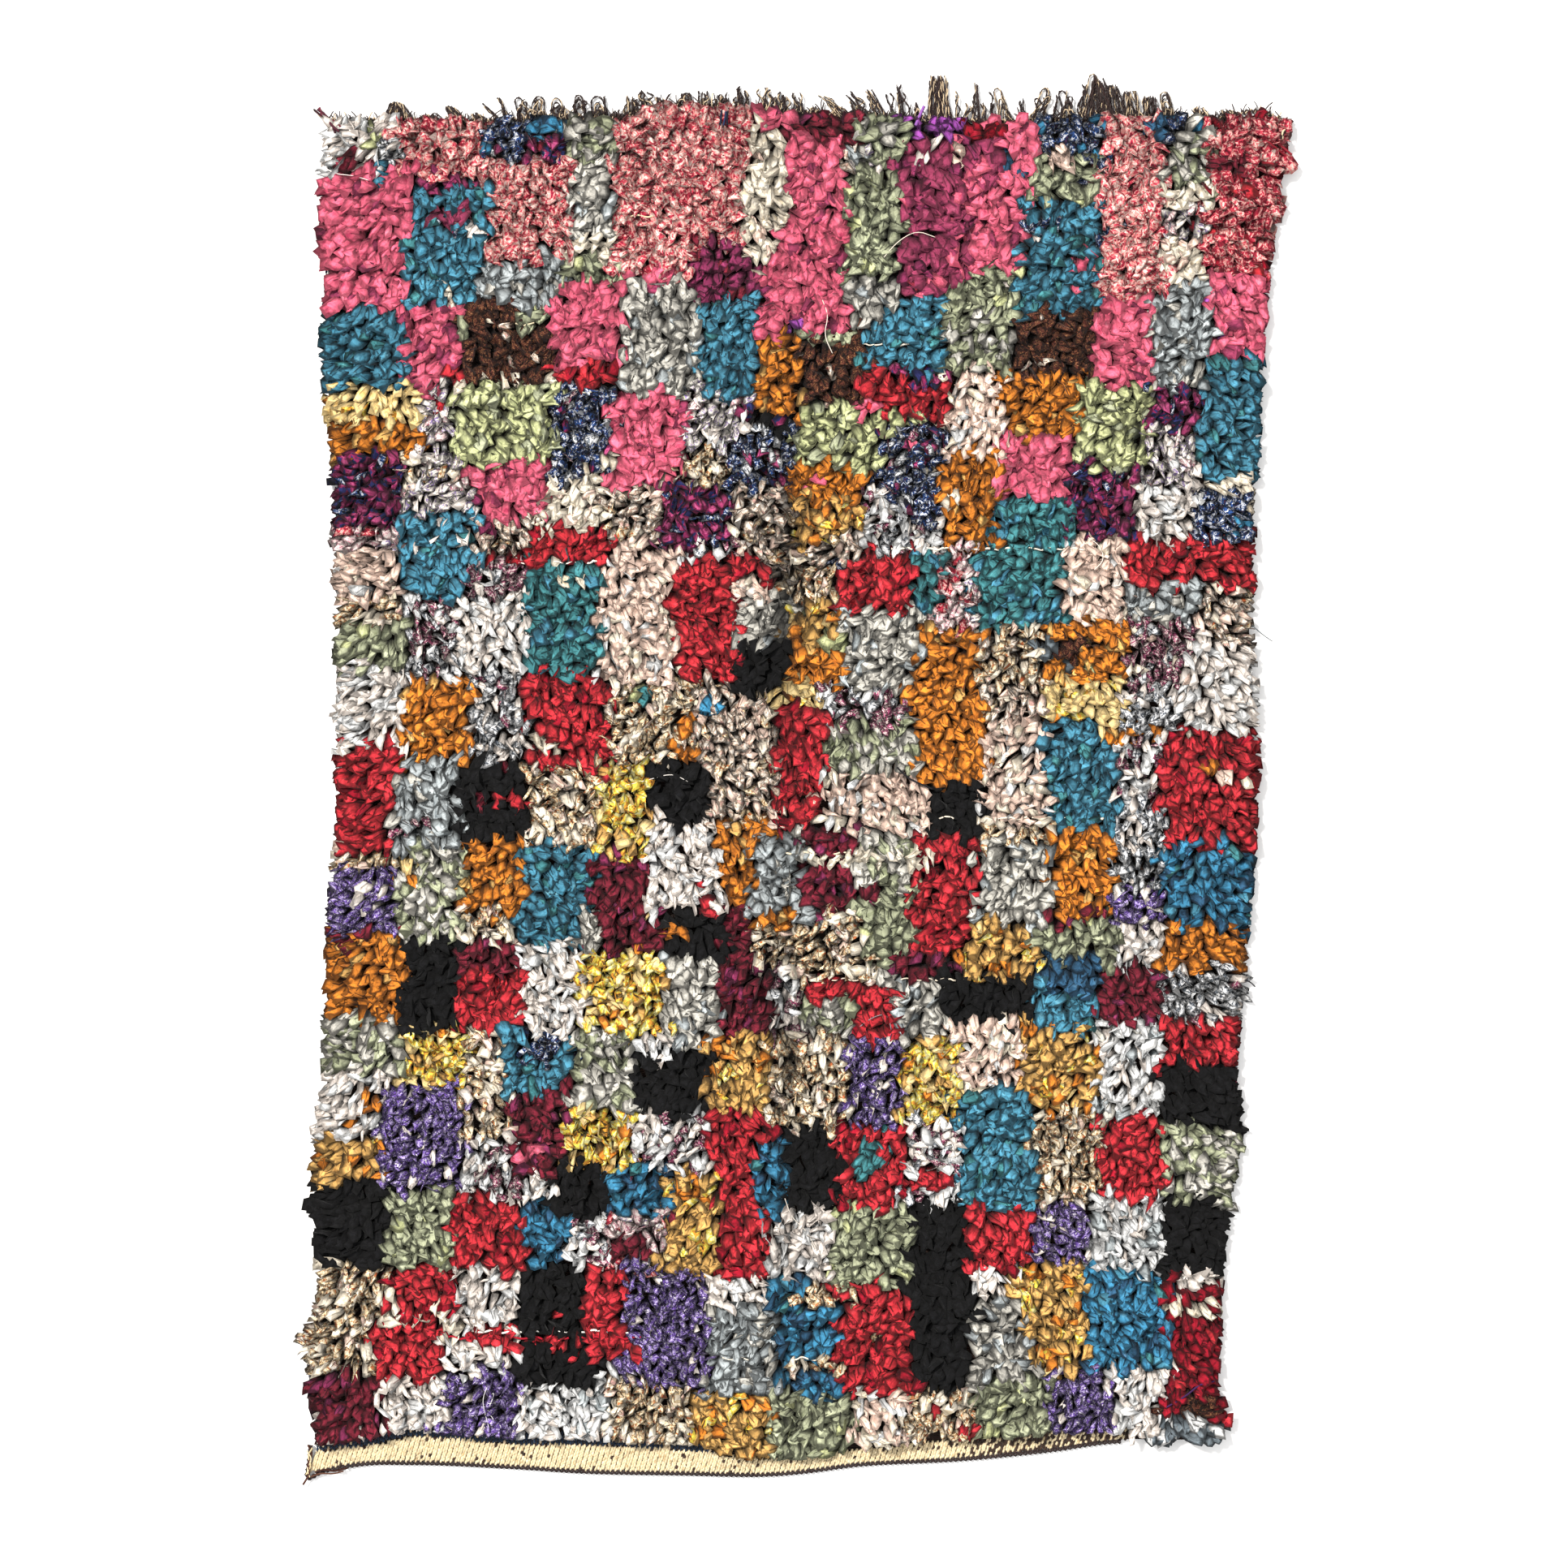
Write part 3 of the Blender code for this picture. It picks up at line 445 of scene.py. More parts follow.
    ("red", 868, 948, 1366, 1445), ("blue", 912, 973, 1398, 1500), ("black", 958, 1038, 1388, 1495),
    ("red", 1028, 1118, 1383, 1488), ("greyw", 1108, 1183, 1378, 1482), ("teal", 1176, 1273, 1336, 1486),
    ("creambrown", 1268, 1353, 1365, 1478), ("red", 1346, 1443, 1373, 1470), ("sagegrey", 1428, 1526, 1380, 1480),
    ("black", 388, 484, 1453, 1560), ("sage", 468, 563, 1463, 1560), ("red", 553, 648, 1472, 1565),
    ("blue", 643, 703, 1478, 1565), ("black", 678, 753, 1420, 1495), ("blue", 748, 833, 1440, 1495),
    ("greyw", 698, 753, 1492, 1560), ("pinkw", 748, 818, 1488, 1560), ("ochre", 812, 893, 1440, 1570),
    ("red", 878, 948, 1448, 1575), ("white", 943, 1033, 1488, 1580), ("sage", 1018, 1133, 1480, 1585),
    ("black", 1108, 1203, 1478, 1705), ("red", 1183, 1273, 1478, 1570), ("purple", 1268, 1348, 1476, 1565),
    ("coolw", 1343, 1443, 1468, 1568), ("black", 1428, 1516, 1473, 1575), ("creambrown", 386, 483, 1553, 1620),
    ("red", 478, 570, 1565, 1614), ("cream", 446, 560, 1612, 1636), ("white", 558, 643, 1553, 1625), ("black", 640, 723, 1553, 1645),
    ("red", 713, 773, 1558, 1645), ("purple", 763, 873, 1563, 1708), ("white", 868, 958, 1578, 1612),
    ("gblue", 868, 958, 1603, 1720), ("blue", 943, 1033, 1578, 1655), ("red", 1028, 1133, 1578, 1722),
    ("white", 1193, 1283, 1563, 1595), ("pgrey", 1190, 1283, 1592, 1705), ("ochre", 1243, 1343, 1558, 1690),
    ("blue", 1333, 1443, 1556, 1690), ("crim", 1433, 1508, 1568, 1745), ("creambrown", 370, 463, 1618, 1690),
    ("red", 458, 550, 1625, 1700), ("white", 542, 643, 1648, 1695), ("black", 638, 733, 1650, 1708),
    ("blue", 955, 1030, 1650, 1675),
    ("creampink", 965, 1062, 1672, 1696), ("blue", 960, 1054, 1693, 1722), ("burg", 382, 473, 1695, 1782), ("white", 468, 548, 1698, 1765),
    ("purple", 543, 643, 1690, 1775), ("coolw", 638, 748, 1698, 1780), ("creambrown", 743, 853, 1703, 1780),
    ("ochre", 848, 953, 1713, 1790), ("sage", 943, 1053, 1708, 1802), ("blush", 1048, 1120, 1705, 1790),
    ("creambrown", 1118, 1203, 1705, 1790), ("sage", 1198, 1293, 1690, 1780),
    ("purple", 1288, 1372, 1683, 1775), ("white", 1363, 1443, 1680, 1775),
    ("slate", 1408, 1506, 1738, 1795),
]

# Small spots of another cloth within a field, read the same way.
# cloth, left, right, top, bottom
SPOTS = [
    ("yellow", 490, 514, 1060, 1083), ("orange", 506, 521, 1075, 1090), ("crim", 862, 882, 1100, 1124),
    ("ink", 1274, 1299, 1178, 1203), ("celery", 778, 795, 854, 871), ("blue", 866, 884, 863, 880),
    ("celery", 1020, 1040, 777, 797), ("white", 554, 572, 659, 676), ("red", 1179, 1199, 1755, 1775),
    ("red", 554, 572, 455, 472), ("crimrose", 966, 984, 255, 272), ("orange", 451, 468, 1351, 1369),
    ("orange", 832, 855, 886, 904), ("teal", 460, 474, 215, 229), ("burg", 424, 441, 190, 207),
    ("celery", 450, 470, 158, 178), ("orchid", 972, 986, 395, 409), ("ink", 1241, 1255, 203, 217),
    ("yellow", 791, 805, 1130, 1144), ("white", 1133, 1147, 192, 206), ("ink", 1418, 1446, 145, 170),
    ("orchid", 1499, 1512, 418, 433), ("burg", 588, 607, 978, 998), ("red", 618, 642, 975, 996),
    ("teal", 722, 736, 1126, 1140), ("orange", 1379, 1393, 895, 909), ("celery", 1333, 1347, 822, 836),
    ("rasp", 530, 581, 257, 273), ("navy", 539, 556, 274, 288), ("white", 567, 600, 277, 291),
    ("cream", 541, 556, 353, 363), ("sage", 556, 584, 396, 409), ("white", 533, 548, 664, 672),
    ("wine", 592, 612, 642, 658), ("cream", 693, 727, 709, 722), ("cream", 657, 696, 908, 919),
    ("green", 781, 797, 859, 870), ("plum", 474, 522, 1014, 1031), ("pgrey", 713, 735, 1123, 1165),
    ("navy", 640, 690, 1275, 1310), ("pink", 657, 676, 1404, 1421), ("burg", 755, 805, 1523, 1549),
    ("green", 1057, 1087, 1409, 1443), ("red", 1118, 1166, 1448, 1461), ("creampink", 975, 1062, 1592, 1610),
    ("orange", 815, 855, 1143, 1157), ("red", 860, 883, 1109, 1126), ("burg", 894, 922, 1107, 1194),
    ("orange", 835, 852, 919, 936), ("cream", 986, 1141, 1050, 1065), ("blush", 1169, 1186, 190, 207),
    ("blush", 1289, 1320, 179, 210), ("taupe", 1031, 1054, 182, 213), ("sage", 1079, 1113, 176, 201),
    ("crim", 1183, 1230, 156, 176), ("pink", 1236, 1258, 140, 162), ("pink", 1264, 1287, 250, 265),
    ("bnavy", 1256, 1312, 271, 288), ("bnavy", 1345, 1368, 288, 305), ("white", 1275, 1292, 292, 307),
    ("pink", 1319, 1333, 317, 332), ("ink", 1281, 1351, 1182, 1224), ("pink", 1057, 1073, 488, 513),
    ("pink", 997, 1011, 575, 590), ("slate", 1273, 1300, 782, 812), ("brown", 1300, 1331, 785, 810),
    ("orange", 1489, 1510, 939, 955), ("blush", 1508, 1528, 950, 966), ("cream", 1524, 1545, 958, 975),
    ("white", 390, 414, 1779, 1794), ("white", 428, 452, 1793, 1810), ("white", 1451, 1506, 1565, 1584),
    ("cream", 1432, 1504, 1602, 1617), ("brown", 1459, 1497, 1720, 1741), ("cream", 741, 768, 563, 580),
    ("red", 560, 640, 1638, 1653), ("red", 655, 700, 1645, 1661), ("red", 710, 790, 1649, 1668),
    ("burg", 1490, 1530, 195, 215), ("navy", 1020, 1040, 690, 702), ("cream", 1168, 1190, 612, 630),
]

# Loose yarns and thrums that lie on the pile.
# colour, thickness, then x, y of the points it runs through
THREADS = [
    ("f2f0ee", 0.09, (-49.5, -97.0), (-50.3, -99.0), (-49.8, -101.5), (-49.2, -103.5)),
    ("f2f0ee", 0.09, (-49.2, -98.6), (-48.2, -97.6), (-48.9, -99.6), (-49.6, -101.0), (-48.3, -102.2), (-48.9, -103.2)),
    ("1d1c20", 0.28, (15.9, 1.9), (17.6, 0.2), (19.2, -0.6), (21.6, -1.6)),
    ("8d8f92", 0.12, (10.0, -39.5), (12.0, -38.0), (14.4, -37.4), (15.0, -40.0)),
    ("3c1f4c", 0.3, (59.0, -100.4), (62.0, -98.6), (64.2, -96.6), (66.6, -96.2)),
    ("5a6266", 0.16, (72.6, 24.6), (74.2, 23.2), (75.9, 22.0)),
    ("222024", 0.2, (71.2, -32.0), (72.4, -32.4), (73.2, -33.2)),
    ("f5e9e4", 0.14, (-75.8, 98.0), (-74.0, 96.6), (-71.0, 96.4), (-68.5, 95.6)),
    ("e9dfce", 0.13, (22.0, 86.5), (19.0, 87.6), (16.0, 85.8), (13.8, 83.2)),
    ("efe6da", 0.12, (46.5, 38.6), (48.4, 37.2), (49.0, 35.0), (47.4, 33.4)),
    ("ece4d6", 0.13, (4.0, 76.5), (5.0, 74.0), (4.2, 71.0), (5.6, 68.0)),
    ("e8e2da", 0.12, (-27.5, -1.0), (-24.0, -0.2), (-20.0, 1.0), (-17.5, -0.4)),
    ("d9d2c6", 0.12, (-2.0, -67.0), (-1.0, -70.0), (1.4, -72.0), (3.0, -75.0)),
    ("2b2530", 0.14, (-11.0, 75.4), (-8.4, 76.8), (-6.2, 75.2), (-4.0, 76.0)),
    ("cdb98f", 0.26, (-77.5, -106.9), (-78.4, -108.3), (-77.7, -109.8), (-78.6, -111.3)),
    ("4a2c22", 0.34, (-78.2, -106.4), (-77.5, -108.0), (-78.4, -109.6), (-77.9, -111.0), (-79.1, -112.9)),
    ("e2d2ae", 0.22, (-78.4, -107.3), (-77.6, -108.8), (-78.5, -110.3), (-78.0, -111.7)),
    ("3a2019", 0.3, (-77.2, -110.9), (-75.6, -110.4), (-74.0, -110.8), (-72.0, -110.2)),
    ("5a3a2c", 0.26, (-77.8, -111.6), (-76.2, -111.0), (-74.4, -111.2), (-72.6, -110.7)),
    ("4a1e2a", 0.42, (-73.2, 103.4), (-74.6, 104.6), (-75.3, 106.1), (-76.8, 107.2)),
    ("6a2c3a", 0.38, (-73.0, 104.2), (-74.0, 105.3), (-75.9, 105.7), (-76.5, 107.5)),
    ("3a1a22", 0.36, (-73.8, 103.2), (-74.9, 105.5), (-76.3, 106.2), (-77.1, 106.9)),
    ("2a1d1c", 0.36, (77.0, 102.0), (77.8, 103.4), (78.6, 104.4), (79.3, 105.4)),
    ("d8c6a4", 0.3, (77.5, 102.2), (77.4, 103.6), (78.9, 104.2), (79.1, 105.2)),
    ("33201f", 0.34, (78.4, 102.0), (79.1, 103.2), (77.9, 104.4), (78.8, 105.6)),
    ("7c1a26", 0.42, (75.2, 101.8), (76.6, 100.6), (78.4, 99.4)),
    ("8f2430", 0.4, (75.6, 102.4), (77.2, 101.2), (79.0, 99.8)),
    ("8f5aa8", 0.5, (18.9, 104.4), (19.6, 106.2), (20.3, 107.7)),
    ("1c2436", 0.32, (-12.3, 104.4), (-12.2, 106.2), (-11.9, 108.1)),
    ("243050", 0.3, (-11.8, 104.4), (-11.4, 106.4), (-11.5, 107.9)),
    ("141a28", 0.32, (-11.2, 104.5), (-11.3, 106.3), (-10.7, 108.0)),
]

# Picks of weft that show as a line between the rows of rags.
# colour, thickness, x from, x to, y
PICKS = [
    ("efe5d2", 0.34, 15.0, 46.5, 36.8),
    ("efe5d2", 0.3, 10.5, 21.5, 69.4),
    ("e3d3ae", 0.3, -33.0, -14.0, 90.0),
    ("d8c9a8", 0.26, -56.0, -42.0, 72.6),
    ("c7c2b0", 0.26, -36.0, -24.0, 61.8),
    ("efe6dc", 0.3, -50.0, -32.0, 34.6),
    ("a3172a", 0.4, -56.5, -25.0, -89.2),
    ("f0ece4", 0.34, -51.0, -27.0, -88.2),
    ("e5dccb", 0.3, -12.0, 4.0, -92.6),
    ("e9dfcc", 0.3, 21.0, 49.0, -6.2),
    ("e2d4b8", 0.3, -2.0, 16.0, -11.8),
    ("ded2bd", 0.28, 5.5, 26.0, -32.0),
]

# Bare selvedge between the edge tufts.
# side, lowest y, highest y, colour of the wrapping, colour of the warp that shows through
SELVEDGE = [
    (-1, 77.0, 82.5, "2a2f4c", "d8cfc4"),
    (-1, 53.0, 63.5, "cfc2a6", "5a4034"),
    (-1, 38.5, 44.5, "9ec4c0", "5a4034"),
    (-1, 11.5, 18.5, "6a4a30", "2f211a"),
    (-1, -96.0, -92.0, "4a4a50", "c9c2b4"),
    (1, 98.5, 102.5, "6e1c34", "3a0e1c"),
    (1, 93.0, 98.0, "d9b48c", "b07a80"),
    (1, 86.5, 91.0, "84305c", "c9a0a8"),
    (1, 41.0, 46.5, "5d4034", "e3d8c8"),
    (1, -47.0, -42.5, "8698a8", "54606c"),
    (1, -50.5, -47.5, "6a1a34", "3a0e1c"),
]

PIXEL = 0.13               # centimetres of rug to a pixel of the photo
PLAN_MIDDLE = (982.5, 960)  # the pixel over the middle of the rug
PITCH = 1.3                # distance between neighbouring rags
RAG_RINGS = 5
RAG_PROFILE = (0.65, 0.94, 1.03, 1.0, 0.9)
RAG_LOWEST = 0.12
RAG_HIGHEST = 4.1
SHORT_RINGS = 14
LONG_RINGS = 25
FIELD_LEAN = 42.0          # how far the fields turn from leaning straight down, in degrees
LEAN_SPREAD = 42.0         # how far single rags turn from their field's lean, in degrees
EDGE_LONGER = 0.3          # how much longer the rags at the left side are
EDGE_FIELD = 11.0          # rags this close to a side lean out over it
FIELD_STRAY = 0.8          # how far the edges of the fields wander
GRID = 0.5                 # cell of the count that finds open spots in the pile
PALE_BUNDLES = ("white", "cream", "yellow", "pink", "rose")
EDGE_SHADE = (0.88, 0.66)  # how strong the painted shade is along the rags' edges and tips and in a line down the middle of some, and of the pale rags
ROOT_PAINTED_SHADE = (1.0, 0.8)     # how strong the painted shade at the roots of the rags is, where their neighbours cover them, and of the pale rags
CRUMPLE_SHADE = (0.62, 0.5)      # how strong the painted facet shading and crease shade of the cloth are, and of the pale cloths
FOLD_SHADE_SHARE = 0.5               # share of the rags with a line of painted shade down the middle, as if folded lengthwise
ROOT_SHADE = 0.09          # the lower this is, the further the shade of its neighbours reaches up a rag
OPEN_STEP = 1.25           # least distance between the rags that fill open spots
OPEN_HEIGHT = 1.15         # rags lower than this leave a spot open
HEM_COLOURS = ("dccaa4", "efe3c4", "b39c72", "f5ecd6")
NAVY_COLOURS = ("17293f", "2b4560", "0c1725", "4a6884")
YARN_DARK = ("2b1a17", "3c2620", "170d0c", "5a4034")
YARN_LIGHT = ("c8b292", "e0d0b0", "94785a", "efe4cc")
TAIL = [(-77.9, -106.6), (-78.2, -109.4), (-78.7, -112.4)]
THRUM_PITCH = 0.5
CORD_RUNS = 30
CORD_TWIST = 1.6           # length of one turn of the cord's plies
CORD_PLY = 0.22
CORD_TURN = 2.5
CORD_RADIUS = 0.45
CORD_END = 53.5
CORD_COLOURS = ("2c1a18", "432a24", "160c0b", "6a4a3a")

rng = np.random.default_rng(20)


# Numbers and curves

def chance(a, b):
    """An even spread of values from 0 to 1, the same on each run."""
    value = np.sin(np.asarray(a) * 12.9898 + np.asarray(b) * 78.233) * 43758.5453
    return value - np.floor(value)


def curve(rows, column, at):
    """Smooth curve through one column of a table, read at values of its first column."""
    x = np.array([row[0] for row in rows], dtype=float)
    y = np.array([row[column] for row in rows], dtype=float)
    ahead = np.minimum(np.arange(len(x)) + 1, len(x) - 1)
    behind = np.maximum(np.arange(len(x)) - 1, 0)
    slope = (y[ahead] - y[behind]) / (x[ahead] - x[behind])
    k = np.clip(np.searchsorted(x, at, side="left") - 1, 0, len(x) - 2)
    span = x[k + 1] - x[k]
    t = np.clip((at - x[k]) / span, 0.0, 1.0)
    bend = slope[k] * (t ** 3 - 2 * t ** 2 + t) + slope[k + 1] * (t ** 3 - t ** 2)
    return y[k] + (y[k + 1] - y[k]) * (3 * t ** 2 - 2 * t ** 3) + span * bend


def mix(a, b, share):
    return a + (b - a) * share


def lumps(x, y):
    across, up = x / LUMP_SIZE, y / LUMP_SIZE
    i, j = np.floor(across), np.floor(up)
    s, t = across - i, up - j
    s, t = s * s * (3 - 2 * s), t * t * (3 - 2 * t)
    low = mix(chance(i, j), chance(i + 1, j), s)
    high = mix(chance(i, j + 1), chance(i + 1, j + 1), s)
    return 2 * mix(low, high, t) - 1


def furrow(x, y):
    strength = FOLD_ELSEWHERE
    for middle, half, share in FOLD_STRETCHES:
        strength = strength + share * np.exp(-((y - middle) / half) ** 2)
    return FOLD_DEPTH * strength * np.exp(-((x - FOLD_X) / FOLD_WIDTH) ** 2)


def side_x(side, y):
    return curve(SIDES, 1 if side < 0 else 2, y)


def pile_top(x, y):
    """Height of the pile, which rounds off towards the rim."""
    height = PILE_HEIGHT + LUMP * lumps(x, y) + BAND_DOME * np.cos(2 * np.pi * y / BAND_DEPTH) - furrow(x, y)
    inside = np.minimum(x - side_x(-1, y), side_x(1, y) - x)
    inside = np.minimum(inside, curve(TOP, 1, x) - y)
    return height * mix(RIM_SHARE, 1.0, np.clip(inside / RIM_INSET, 0.0, 1.0))


def hem_line(x):
    return curve(HEM, 1, x) + curve(HEM, 2, x)


# Finishes

def linear(code):
    parts = [int(code[k:k + 2], 16) / 255.0 for k in (0, 2, 4)]
    return [c / 12.92 if c <= 0.04045 else ((c + 0.055) / 1.055) ** 2.4 for c in parts] + [1.0]


def new_finish(name):
    material = bpy.data.materials.new(name)
    material.use_nodes = True
    return material, material.node_tree, material.node_tree.nodes["Principled BSDF"]


def add_node(tree, kind, inputs=None, **settings):
    node = tree.nodes.new(kind)
    for key, value in settings.items():
        setattr(node, key, value)
    for key, value in (inputs or {}).items():
        if isinstance(value, bpy.types.NodeSocket):
            tree.links.new(value, node.inputs[key])
        else:
            node.inputs[key].default_value = value
    return node


def blend_colours(tree, factor, first, second, mode="MIX"):
    node = add_node(tree, "ShaderNodeMix", data_type="RGBA", blend_type=mode)
    for socket, value in ((node.inputs[0], factor), (node.inputs[6], first), (node.inputs[7], second)):
        if isinstance(value, bpy.types.NodeSocket):
            tree.links.new(value, socket)
        else:
            socket.default_value = value
    return node.outputs[2]


def ramp(tree, factor, stops, steps=False):
    node = add_node(tree, "ShaderNodeValToRGB", {0: factor})
    node.color_ramp.interpolation = "CONSTANT" if steps else "LINEAR"
    while len(node.color_ramp.elements) < len(stops):
        node.color_ramp.elements.new(0.5)
    for element, (position, colour) in zip(node.color_ramp.elements, stops):
        element.position = position
        element.color = colour
    return node.outputs[0]


def grey(value):
    return [value, value, value, 1.0]


def cloth_colour(tree, colours, where, print_size):
    """Colour of one cloth: soft mottling on plain cloth, partly its own uneven tone and partly painted light and
    painted shade; small scattered shapes on a print.
    """
    main, light, dark, fleck = (linear(code) for code in colours)
    if print_size:
        noise = add_node(tree, "ShaderNodeTexNoise", {
            "Vector": where, "Scale": 100.0 / abs(print_size), "Detail": 2.0, "Roughness": 0.6, "Distortion": 0.6})
        shapes = [(0.0, fleck), (0.37, dark), (0.46, main), (0.55, light), (0.66, main)]
        scrolls = [(0.0, dark), (0.43, main), (0.49, fleck), (0.515, main), (0.62, light)]
        return ramp(tree, noise.outputs[0], shapes if print_size > 0 else scrolls, steps=True)
    noise = add_node(tree, "ShaderNodeTexNoise", {"Vector": where, "Scale": 70.0, "Detail": 3.0})
    return ramp(tree, noise.outputs[0], [(0.3, dark), (0.45, main), (0.6, main), (0.75, light)])


def crumple(tree, where, strength):
    """Painted shading of crumpled cloth: facets each a little lighter or darker as though lit at their own slant, with
    painted shade in a thin crease round each and in fold lines along the strip.
    """
    wander = add_node(tree, "ShaderNodeTexNoise", {"Vector": where, "Scale": 120.0, "Detail": 1.0})
    moved = add_node(tree, "ShaderNodeVectorMath", {0: wander.outputs[1], 1: (0.006, 0.006, 0.0)}, operation="MULTIPLY")
    spot = add_node(tree, "ShaderNodeVectorMath", {0: where, 1: moved.outputs[0]}, operation="ADD").outputs[0]
    facet = add_node(tree, "ShaderNodeTexVoronoi", {"Vector": spot, "Scale": 105.0}, voronoi_dimensions="2D")
    edge = add_node(tree, "ShaderNodeTexVoronoi", {"Vector": spot, "Scale": 105.0}, voronoi_dimensions="2D",
                    feature="DISTANCE_TO_EDGE")
    tone = add_node(tree, "ShaderNodeSeparateColor", {0: facet.outputs["Color"]})
    # Painted light and shade: each facet lighter or darker as though lit at its own slant, with painted shade in the
    # creases round it and along folds.
    tone = ramp(tree, tone.outputs[0], [(0.0, grey(0.6)), (1.0, grey(1.12))])
    line = ramp(tree, edge.outputs["Distance"], [(0.0, grey(0.42)), (0.14, grey(1.0))])
    along = add_node(tree, "ShaderNodeVectorMath", {0: where, 1: (1.0, 0.32, 1.0)}, operation="MULTIPLY")
    fold = add_node(tree, "ShaderNodeTexNoise", {"Vector": along.outputs[0], "Scale": 105.0, "Detail": 1.0})
    painted_fold_shadow = ramp(tree, fold.outputs[0], [(0.45, grey(1.0)), (0.5, grey(0.1)), (0.55, grey(1.0))])
    tone = blend_colours(tree, 0.75, tone, line, "MULTIPLY")
    tone = blend_colours(tree, 0.85, tone, painted_fold_shadow, "MULTIPLY")
    return blend_colours(tree, strength, grey(1.0), tone)


def cloth_bump(tree, where, shader, crease=0.0012, thread=1300.0):
    """Creases and the grain of the cloth in the shading."""
    folds = add_node(tree, "ShaderNodeTexNoise", {
        "Vector": where, "Scale": 190.0, "Detail": 2.0, "Distortion": 0.8})
    coarse = add_node(tree, "ShaderNodeBump", {"Strength": 0.8, "Distance": crease, "Height": folds.outputs[0]})
    grain = add_node(tree, "ShaderNodeTexNoise", {"Vector": where, "Scale": thread, "Detail": 1.0})
    fine = add_node(tree, "ShaderNodeBump", {
        "Strength": 0.5, "Distance": 0.0002, "Height": grain.outputs[0], "Normal": coarse.outputs[0]})
    tree.links.new(fine.outputs[0], shader.inputs["Normal"])
    rough = add_node(tree, "ShaderNodeMapRange", {
        "Value": folds.outputs[0], "From Min": 0.3, "From Max": 0.7, "To Min": 0.78, "To Max": 0.97})
    tree.links.new(rough.outputs[0], shader.inputs["Roughness"])


def rag_finish(name, first, second, crumpled, edge_shade, root_painted_shade):
    """Rag cloth that reads each rag's own cloth, tone and depth in the pile, with painted shade towards the root, along
    the edges, down the middle of some rags and in the creases.
    """
    material, tree, shader = new_finish(name)
    where = add_node(tree, "ShaderNodeUVMap", uv_map="Strip").outputs[0]
    variant = add_node(tree, "ShaderNodeAttribute", attribute_name="variant").outputs["Fac"]
    tone = add_node(tree, "ShaderNodeAttribute", attribute_name="tone").outputs["Fac"]
    depth = add_node(tree, "ShaderNodeAttribute", attribute_name="depth").outputs["Fac"]
    one = cloth_colour(tree, CLOTHS[first][:4], where, CLOTHS[first][4])
    two = cloth_colour(tree, CLOTHS[second][:4], where, CLOTHS[second][4])
    colour = blend_colours(tree, variant, one, two)
    value = add_node(tree, "ShaderNodeMapRange", {
        "Value": tone, "From Min": -1.0, "From Max": 1.0, "To Min": 0.72, "To Max": 1.18})
    colour = add_node(tree, "ShaderNodeHueSaturation", {
        "Hue": 0.5, "Saturation": 1.0, "Value": value.outputs[0], "Color": colour}).outputs[0]
    # Painted shade: darker towards each rag's root and low in the pile, where its neighbours cover it.
    shade = ramp(tree, depth, [(0.2, grey(0.03)), (0.48, grey(0.15)), (0.68, grey(0.6)), (0.86, grey(1.0))])
    colour = blend_colours(tree, root_painted_shade, colour, shade, "MULTIPLY")
    # Painted shade: thin dark lines along each rag's edges and tip, and down the middle of some rags.
    cut = add_node(tree, "ShaderNodeAttribute", attribute_name="shadow_line_place").outputs["Fac"]
    outline = ramp(tree, cut, [(0.04, grey(0.06)), (0.18, grey(1.0)), (0.7, grey(1.0)), (0.88, grey(0.08))])
    colour = blend_colours(tree, edge_shade, colour, outline, "MULTIPLY")
    # Painted facet shading and crease shade of crumpled cloth.
    colour = blend_colours(tree, 1.0, colour, crumple(tree, where, crumpled), "MULTIPLY")
    tree.links.new(colour, shader.inputs["Base Color"])
    shader.inputs["Specular IOR Level"].default_value = 0.15
    shader.inputs["Sheen Weight"].default_value = 0.06
    shader.inputs["Sheen Roughness"].default_value = 0.5
    cloth_bump(tree, where, shader)
    return material


def yarn_finish(name, dark, light):
    """Spun yarn: colour by the strand's variant attribute, with fine twisted fibres along it."""
    material, tree, shader = new_finish(name)
    where = add_node(tree, "ShaderNodeUVMap", uv_map="Strip").outputs[0]
    variant = add_node(tree, "ShaderNodeAttribute", attribute_name="variant").outputs["Fac"]
    tone = add_node(tree, "ShaderNodeAttribute", attribute_name="tone").outputs["Fac"]
    one = cloth_colour(tree, dark, where, 0)
    two = cloth_colour(tree, light, where, 0)
    colour = blend_colours(tree, variant, one, two)
    value = add_node(tree, "ShaderNodeMapRange", {
        "Value": tone, "From Min": -1.0, "From Max": 1.0, "To Min": 0.7, "To Max": 1.25})
    colour = add_node(tree, "ShaderNodeHueSaturation", {"Value": value.outputs[0], "Color": colour}).outputs[0]
    fibre = add_node(tree, "ShaderNodeTexNoise", {"Vector": where, "Scale": 900.0, "Detail": 2.0})
    shade = ramp(tree, fibre.outputs[0], [(0.3, grey(0.55)), (0.6, grey(1.0))])
    colour = blend_colours(tree, 0.6, colour, shade, "MULTIPLY")
    tree.links.new(colour, shader.inputs["Base Color"])
    shader.inputs["Specular IOR Level"].default_value = 0.2
    shader.inputs["Sheen Weight"].default_value = 0.15
    cloth_bump(tree, where, shader, crease=0.0004, thread=1700.0)
    return material


